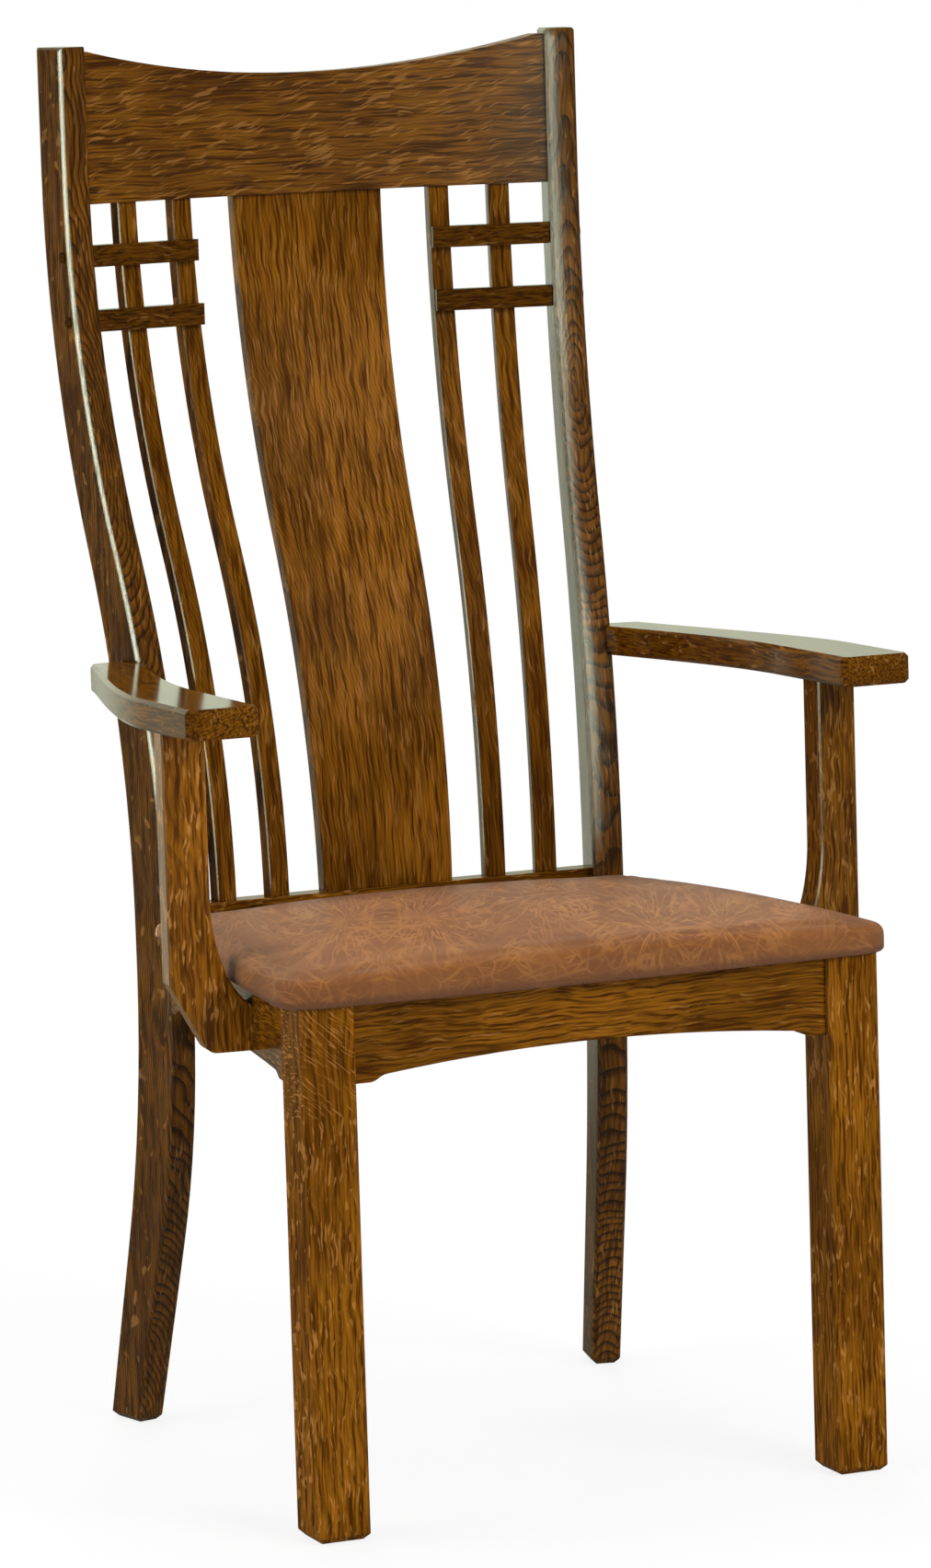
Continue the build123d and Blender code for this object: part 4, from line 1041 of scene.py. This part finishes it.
        inner = self.low + self.leather + self.slack
        hem = plan - out * self.return_width
        # The last value given to each ring is its painted shade: full under the seat, less up the side and
        # round the roll, fading over the crown.
        for share in (0.02, 0.35, 0.7, 1.0):
            lay(middle + (hem - middle) * share, inner, 1.0)
        lay(hem, self.low, 1.0)
        first, last = self.return_width - self.hem_step, self.tuck + self.tuck_step
        for inset in np.linspace(first, last, self.rows_under):
            lay(plan - out * inset, self.low, 1.0)
        for angle in quarter:
            ring = plan - out * self.tuck * (1.0 - math.sin(angle))
            lay(ring, self.low + self.tuck * (1.0 - math.cos(angle)), 1.0)
        rim = plan - out * self.roll
        low, high = self.low + self.tuck, self.top(rim)[:, None] - self.roll
        for share in (0.35, 0.7):
            lay(plan, low + share * (high - low), 0.62 - 0.3 * share)
        for angle in quarter:
            ring = plan - out * self.roll * (1.0 - math.cos(angle))
            lay(ring, high + self.roll * math.sin(angle), 0.32 - 0.12 * angle)
        inward = np.linspace(0.0, 1.0, self.rows_over_top + 1)[1:]
        for share in inward:
            ring = middle + (rim - middle) * (1.0 - (1.0 - self.last_ring) * share)
            lay(ring, self.top(ring)[:, None], max(0.0, 0.13 - 1.3 * share))
        # Painted shade on the crown: darker towards the rear, and in a band along the rim.
        shade = np.repeat(np.array(turned)[:, None], self.around, 1)
        rearward = (plan[:, 1] - self.front_y) / (self.rear_y - self.front_y)
        inward = inward[:, None]
        shade[-self.rows_over_top :] += np.clip(0.75 * rearward**2 * (1.0 - inward / 0.36), 0.0, 1.0)
        shade[-self.rows_over_top :] += np.clip(0.25 * (1.0 - inward / 0.12), 0.0, 1.0)
        return np.stack(rings), shade

    def mesh(self) -> bpy.types.Object:
        """Builds the closed cover as one mesh of four-sided faces with a fan at each pole.

        Returns:
            The cover.
        """
        grid, turned = self.cover()
        rows, columns = grid.shape[:2]
        number = np.arange(rows * columns).reshape(rows, columns)
        nxt = np.roll(number, -1, axis=1)
        quads = np.stack((number[:-1], nxt[:-1], nxt[1:], number[1:]), -1).reshape(-1, 4)
        poles = np.array((grid[0].mean(axis=0), grid[-1].mean(axis=0)))
        points = np.concatenate((grid.reshape(-1, 3), poles))
        low_pole, high_pole = len(points) - 2, len(points) - 1
        faces = quads.tolist()
        faces += [(int(b), int(a), low_pole) for a, b in zip(number[0], nxt[0])]
        faces += [(int(a), int(b), high_pole) for a, b in zip(number[-1], nxt[-1])]
        shape = bpy.data.meshes.new("seat_cover")
        shape.from_pydata(points.tolist(), [], faces)
        shape.validate()
        # The painted shade is kept on the points for the leather's colour.
        edge = shape.attributes.new("painted_shade", "FLOAT", "POINT")
        shades = np.concatenate((turned.reshape(-1), (1.0, 0.0)))
        edge.data.foreach_set("value", shades.astype(np.float32))
        shape.polygons.foreach_set("use_smooth", np.ones(len(shape.polygons), dtype=bool))
        cover = bpy.data.objects.new("seat_cover", shape)
        bpy.context.scene.collection.objects.link(cover)
        return cover

    def fill(self, cover: bpy.types.Object) -> None:
        """Lets the padding push the cover out, held where it is stapled, and keeps the result.

        A point keeps the part of its move that points outwards, from nothing up to the swell.

        Args:
            cover: the cover's object.
        """
        shape = cover.data
        scene = bpy.context.scene
        start = read(shape.vertices, "co")
        outward = read(shape.vertex_normals, "vector")
        held = cover.vertex_groups.new(name="stapled")
        stapled = np.flatnonzero(start[:, 2] < self.low + self.tuck * self.held_share)
        held.add(stapled.tolist(), 1.0, "REPLACE")
        cloth = cover.modifiers.new("padding", "CLOTH")
        cloth.settings.vertex_group_mass = "stapled"
        cloth.settings.quality = 5
        cloth.settings.mass = 0.4
        cloth.settings.tension_stiffness = 40.0
        cloth.settings.compression_stiffness = 40.0
        cloth.settings.shear_stiffness = 20.0
        cloth.settings.bending_stiffness = 2.0
        cloth.settings.use_pressure = True
        cloth.settings.uniform_pressure_force = 2.5
        cloth.settings.effector_weights.gravity = 0.0
        cloth.collision_settings.use_collision = False
        cloth.point_cache.frame_start = 1
        cloth.point_cache.frame_end = self.frames
        for step in range(1, self.frames + 1):
            scene.frame_set(step)
        settled = cover.evaluated_get(bpy.context.evaluated_depsgraph_get())
        end = read(settled.data.vertices, "co")
        cover.modifiers.remove(cloth)
        scene.frame_set(1)
        far = np.sum((end - start) * outward, axis=1)
        log.info("padding moves the cover by %.4f to %.4f m before the cut", far.min(), far.max())
        kept = start + outward * np.clip(far, 0.0, self.swell)[:, None]
        shape.vertices.foreach_set("co", kept.reshape(-1))
        shape.update()

    def build(self) -> bpy.types.Object:
        """Makes the cover, fills it, and dresses it and what lies inside and below.

        Returns:
            The cover.
        """
        cover = self.mesh()
        self.fill(cover)
        finer = cover.modifiers.new("finer", "SUBSURF")
        finer.levels = 1
        finer.render_levels = 1
        cover.data.materials.append(LeatherFinish().material("veined_leather"))
        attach(cover, "root")
        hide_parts("seat_leather")
        foam = ClothFinish(stain(236, 226, 190), stain(196, 182, 140), 700.0, 0.0006)
        dress(("seat_foam",), foam.material("foam_block"))
        felt = ClothFinish(stain(46, 46, 46), stain(16, 16, 16), 1500.0, 0.0002)
        dress(("dust_cover",), felt.material("dust_cloth"))
        board = BareWoodFinish(stain(214, 180, 130), stain(164, 124, 80), Lie.ACROSS, 0.0015)
        dress(("seat_board",), board.material("seat_plywood"))
        return cover


@dataclass
class Fasteners:
    """All screws and staples, of zinc-plated steel.

    Attributes:
        screws: what the screws hold.
    """

    screws: tuple[str, ...] = ("block", "lattice", "seat", "support")

    def build(self) -> None:
        """Dresses the fasteners."""
        nodes = tuple(f"{held}_screws" for held in self.screws)
        dress((*nodes, "seat_staples"), SteelFinish().material("zinc_plating"))


@dataclass
class Studio:
    """A pale floor, soft lamps and a white background.

    Attributes:
        floor_half: half the floor's width, in metres.
        shadow_reach: how far from the chair the floor still shows its shadow.
        fill: strength of the even light from all sides.
        mirror_front: how bright the room in front of the chair shows in the gloss.
        mirror_floor: how bright the floor shows in the gloss.
        mirror_far: the same for the floor far behind the chair.
        panel_watts: power of the pale panel that the posts and the crest mirror.
        mirror_tint: colour of all that the gloss mirrors.
        drop: how far the floor lies under the feet, so that no two faces coincide.
        covered: share of the floor's paper that the white covers near the chair.
    """

    floor_half: float = 14.0
    shadow_reach: float = 0.9
    fill: float = 0.36
    mirror_front: float = 0.08
    mirror_floor: float = 0.12
    mirror_far: float = 0.62
    panel_watts: float = 90.0
    mirror_tint: Colour = (0.88, 1.0, 0.78)
    drop: float = 0.0005
    covered: float = 0.84

    def floor(self) -> None:
        """Lays the floor: it scatters light like paper, and shows nearly white where it is seen."""
        half = self.floor_half
        corners = [(x * half, y * half, -self.drop) for x, y in ((-1, -1), (1, -1), (1, 1), (-1, 1))]
        shape = bpy.data.meshes.new("studio_floor")
        shape.from_pydata(corners, [], [(0, 1, 2, 3)])
        ground = bpy.data.objects.new("studio_floor", shape)
        bpy.context.scene.collection.objects.link(ground)
        material = bpy.data.materials.new("pale_floor")
        material.use_nodes = True
        sheet = Sheet(material.node_tree)
        path = sheet.node("LightPath", out="Is Camera Ray")
        gloss = path.out("Is Glossy Ray")
        seen = path.most(gloss).most(path.out("Is Transmission Ray"))
        paper = sheet.node("BsdfDiffuse", None, {"Color": (0.82, 0.82, 0.82)})
        x, y, _ = sheet.axes(sheet.place())
        far = (x * x + y * y) ** 0.5
        behind = (y / far).between(0.78, 0.93) * far.between(1.0, 3.0)
        dimmed = 1.0 - self.mirror_floor - (self.mirror_far - self.mirror_floor) * behind
        strength = 1.0 - dimmed * gloss
        tint = sheet.mixed(gloss, (1.0, 1.0, 1.0), self.mirror_tint)
        glow = sheet.node("Emission", None, {"Color": tint, "Strength": strength})
        faded = far.between(self.shadow_reach, 3.0 * self.shadow_reach).most(gloss)
        share = self.covered + (1.0 - self.covered) * faded
        mix = sheet.node("MixShader", None, {0: seen * share, 1: paper, 2: glow})
        sheet.node("OutputMaterial", None, {"Surface": mix})
        shape.materials.append(material)

    def world(self) -> None:
        """White where it is seen, dimmer for the even light, and dark in the gloss towards the front."""
        world = bpy.data.worlds.new("studio_world")
        bpy.context.scene.world = world
        world.use_nodes = True
        sheet = Sheet(world.node_tree)
        path = sheet.node("LightPath", out="Is Camera Ray")
        gloss = path.out("Is Glossy Ray")
        way = sheet.node("TexCoord", out="Generated")
        behind = sheet.axes(way)[1].between(0.70, 0.97)
        mirror = (self.mirror_front + (1.0 - self.mirror_front) * behind) * gloss
        shown = path.most(path.out("Is Transmission Ray"))
        strength = shown + mirror + (1.0 - shown.most(gloss)) * self.fill
        tint = sheet.mixed(gloss, (1.0, 1.0, 1.0), self.mirror_tint)
        light = sheet.node("Background", None, {"Color": tint, "Strength": strength})
        sheet.node("OutputWorld", None, {"Surface": light})

    def lamp(
        self,
        name: str,
        place: Colour,
        target: Colour,
        wide: float,
        high: float,
        watts: float,
        mirrored_by: tuple[str, ...] = (),
    ) -> None:
        """Hangs one soft box.

        Args:
            name: the lamp's name.
            place: where it hangs.
            target: what it points at.
            wide: its width.
            high: its height.
            watts: its power.
            mirrored_by: nodes that mirror it, for a lamp that only shows in the gloss.
        """
        data = bpy.data.lights.new(name, "AREA")
        data.shape = "RECTANGLE"
        data.size = wide
        data.size_y = high
        data.energy = watts
        data.color = self.mirror_tint if mirrored_by else (1.0, 1.0, 1.0)
        lamp = bpy.data.objects.new(name, data)
        aim = (Vector(target) - Vector(place)).to_track_quat("-Z", "Y")
        lamp.matrix_world = Matrix.Translation(place) @ aim.to_matrix().to_4x4()
        lamp.visible_camera = False
        lamp.visible_glossy = bool(mirrored_by)
        lamp.visible_diffuse = not mirrored_by
        if mirrored_by:
            group = bpy.data.collections.new(f"{name}_mirrors")
            for node in mirrored_by:
                group.objects.link(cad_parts[node])
            lamp.light_linking.receiver_collection = group
        bpy.context.scene.collection.objects.link(lamp)

    def build(self) -> None:
        """Sets up floor, world and lamps, and the plain view settings."""
        self.floor()
        self.world()
        self.lamp("front_box", (1.5, -3.8, 2.9), (0.0, 0.0, 0.6), 2.2, 2.0, 130.0)
        flat = ("arm_left", "arm_right", "crest_rail", "rear_seat_rail", "lattice_plugs")
        boards = [name for part in (Back(), SeatFrame(), Arms()) for name in part.boards()]
        oak = tuple(name for name in boards if name not in flat)
        posts = ("back_post_left", "back_post_right", "crest_rail")
        self.lamp("left_strip", (-3.2, 0.20, 1.5), (0.2, 0.2, 1.5), 0.95, 2.8, 230.0, oak)
        self.lamp("left_front_strip", (-2.82, -2.28, 1.5), (-0.2, 0.2, 1.5), 0.42, 2.8, 105.0, oak)
        self.lamp("pale_panel", (-1.33, -2.95, 1.5), (0.2, 0.2, 1.3), 2.3, 1.1, self.panel_watts, posts)
        self.lamp("top_box", (0.0, 0.4, 3.6), (0.0, 0.0, 0.5), 2.4, 2.4, 60.0)
        self.lamp("left_box", (-3.4, 0.6, 1.6), (0.0, 0.0, 0.6), 2.2, 2.2, 60.0)
        self.lamp("back_box", (0.9, 3.8, 2.4), (0.0, 0.0, 0.6), 2.4, 2.0, 60.0)
        bpy.context.scene.view_settings.view_transform = "Standard"


@dataclass
class PhotoCamera:
    """The camera at the photograph's place, with its focal length given for the photograph's frame of 1012 by
    1704.

    Attributes:
        place: where it stands, in metres.
        yaw: its turn to the right of straight back.
        pitch: how far it looks down.
        roll: its lean.
        focal: focal length in heights of the frame.
        sensor: the sensor's height in millimetres.
    """

    place: Colour = (-2.105659, -4.996480, 1.278858)
    yaw: float = math.radians(22.983)
    pitch: float = math.radians(7.704)
    roll: float = math.radians(-1.737)
    focal: float = 7280.562 / 1704.0
    sensor: float = 24.0

    def build(self) -> None:
        """Works out the camera's axes from its angles and makes it the scene's camera."""
        level = Vector((math.cos(self.yaw), -math.sin(self.yaw), 0.0))
        straight = Vector((math.sin(self.yaw), math.cos(self.yaw), 0.0))
        ahead = math.cos(self.pitch) * straight - Vector((0.0, 0.0, math.sin(self.pitch)))
        over = level.cross(ahead)
        right = math.cos(self.roll) * level + math.sin(self.roll) * over
        above = math.cos(self.roll) * over - math.sin(self.roll) * level
        axes = Matrix((right, above, -ahead)).transposed().to_4x4()
        data = bpy.data.cameras.new("photo_camera")
        data.sensor_fit = "VERTICAL"
        data.sensor_height = self.sensor
        data.lens = self.focal * self.sensor
        data.clip_end = 60.0
        camera = bpy.data.objects.new("photo_camera", data)
        camera.matrix_world = Matrix.Translation(self.place) @ axes
        bpy.context.scene.collection.objects.link(camera)
        bpy.context.scene.camera = camera


def main() -> None:
    """Builds the chair's finishes and cushion, the studio and the camera."""
    logging.basicConfig(level=logging.INFO, format="%(message)s")
    PhotoCamera().build()
    Studio().build()
    for assembly in (SeatFrame(), Back(), Arms()):
        assembly.build()
        for piece in assembly.pieces:
            log.info("dressed %s", piece)
    Fasteners().build()
    cover = Seat().build()
    log.info("built %s with %d faces", cover.name, len(cover.data.polygons))


if __name__ == "__main__":
    main()
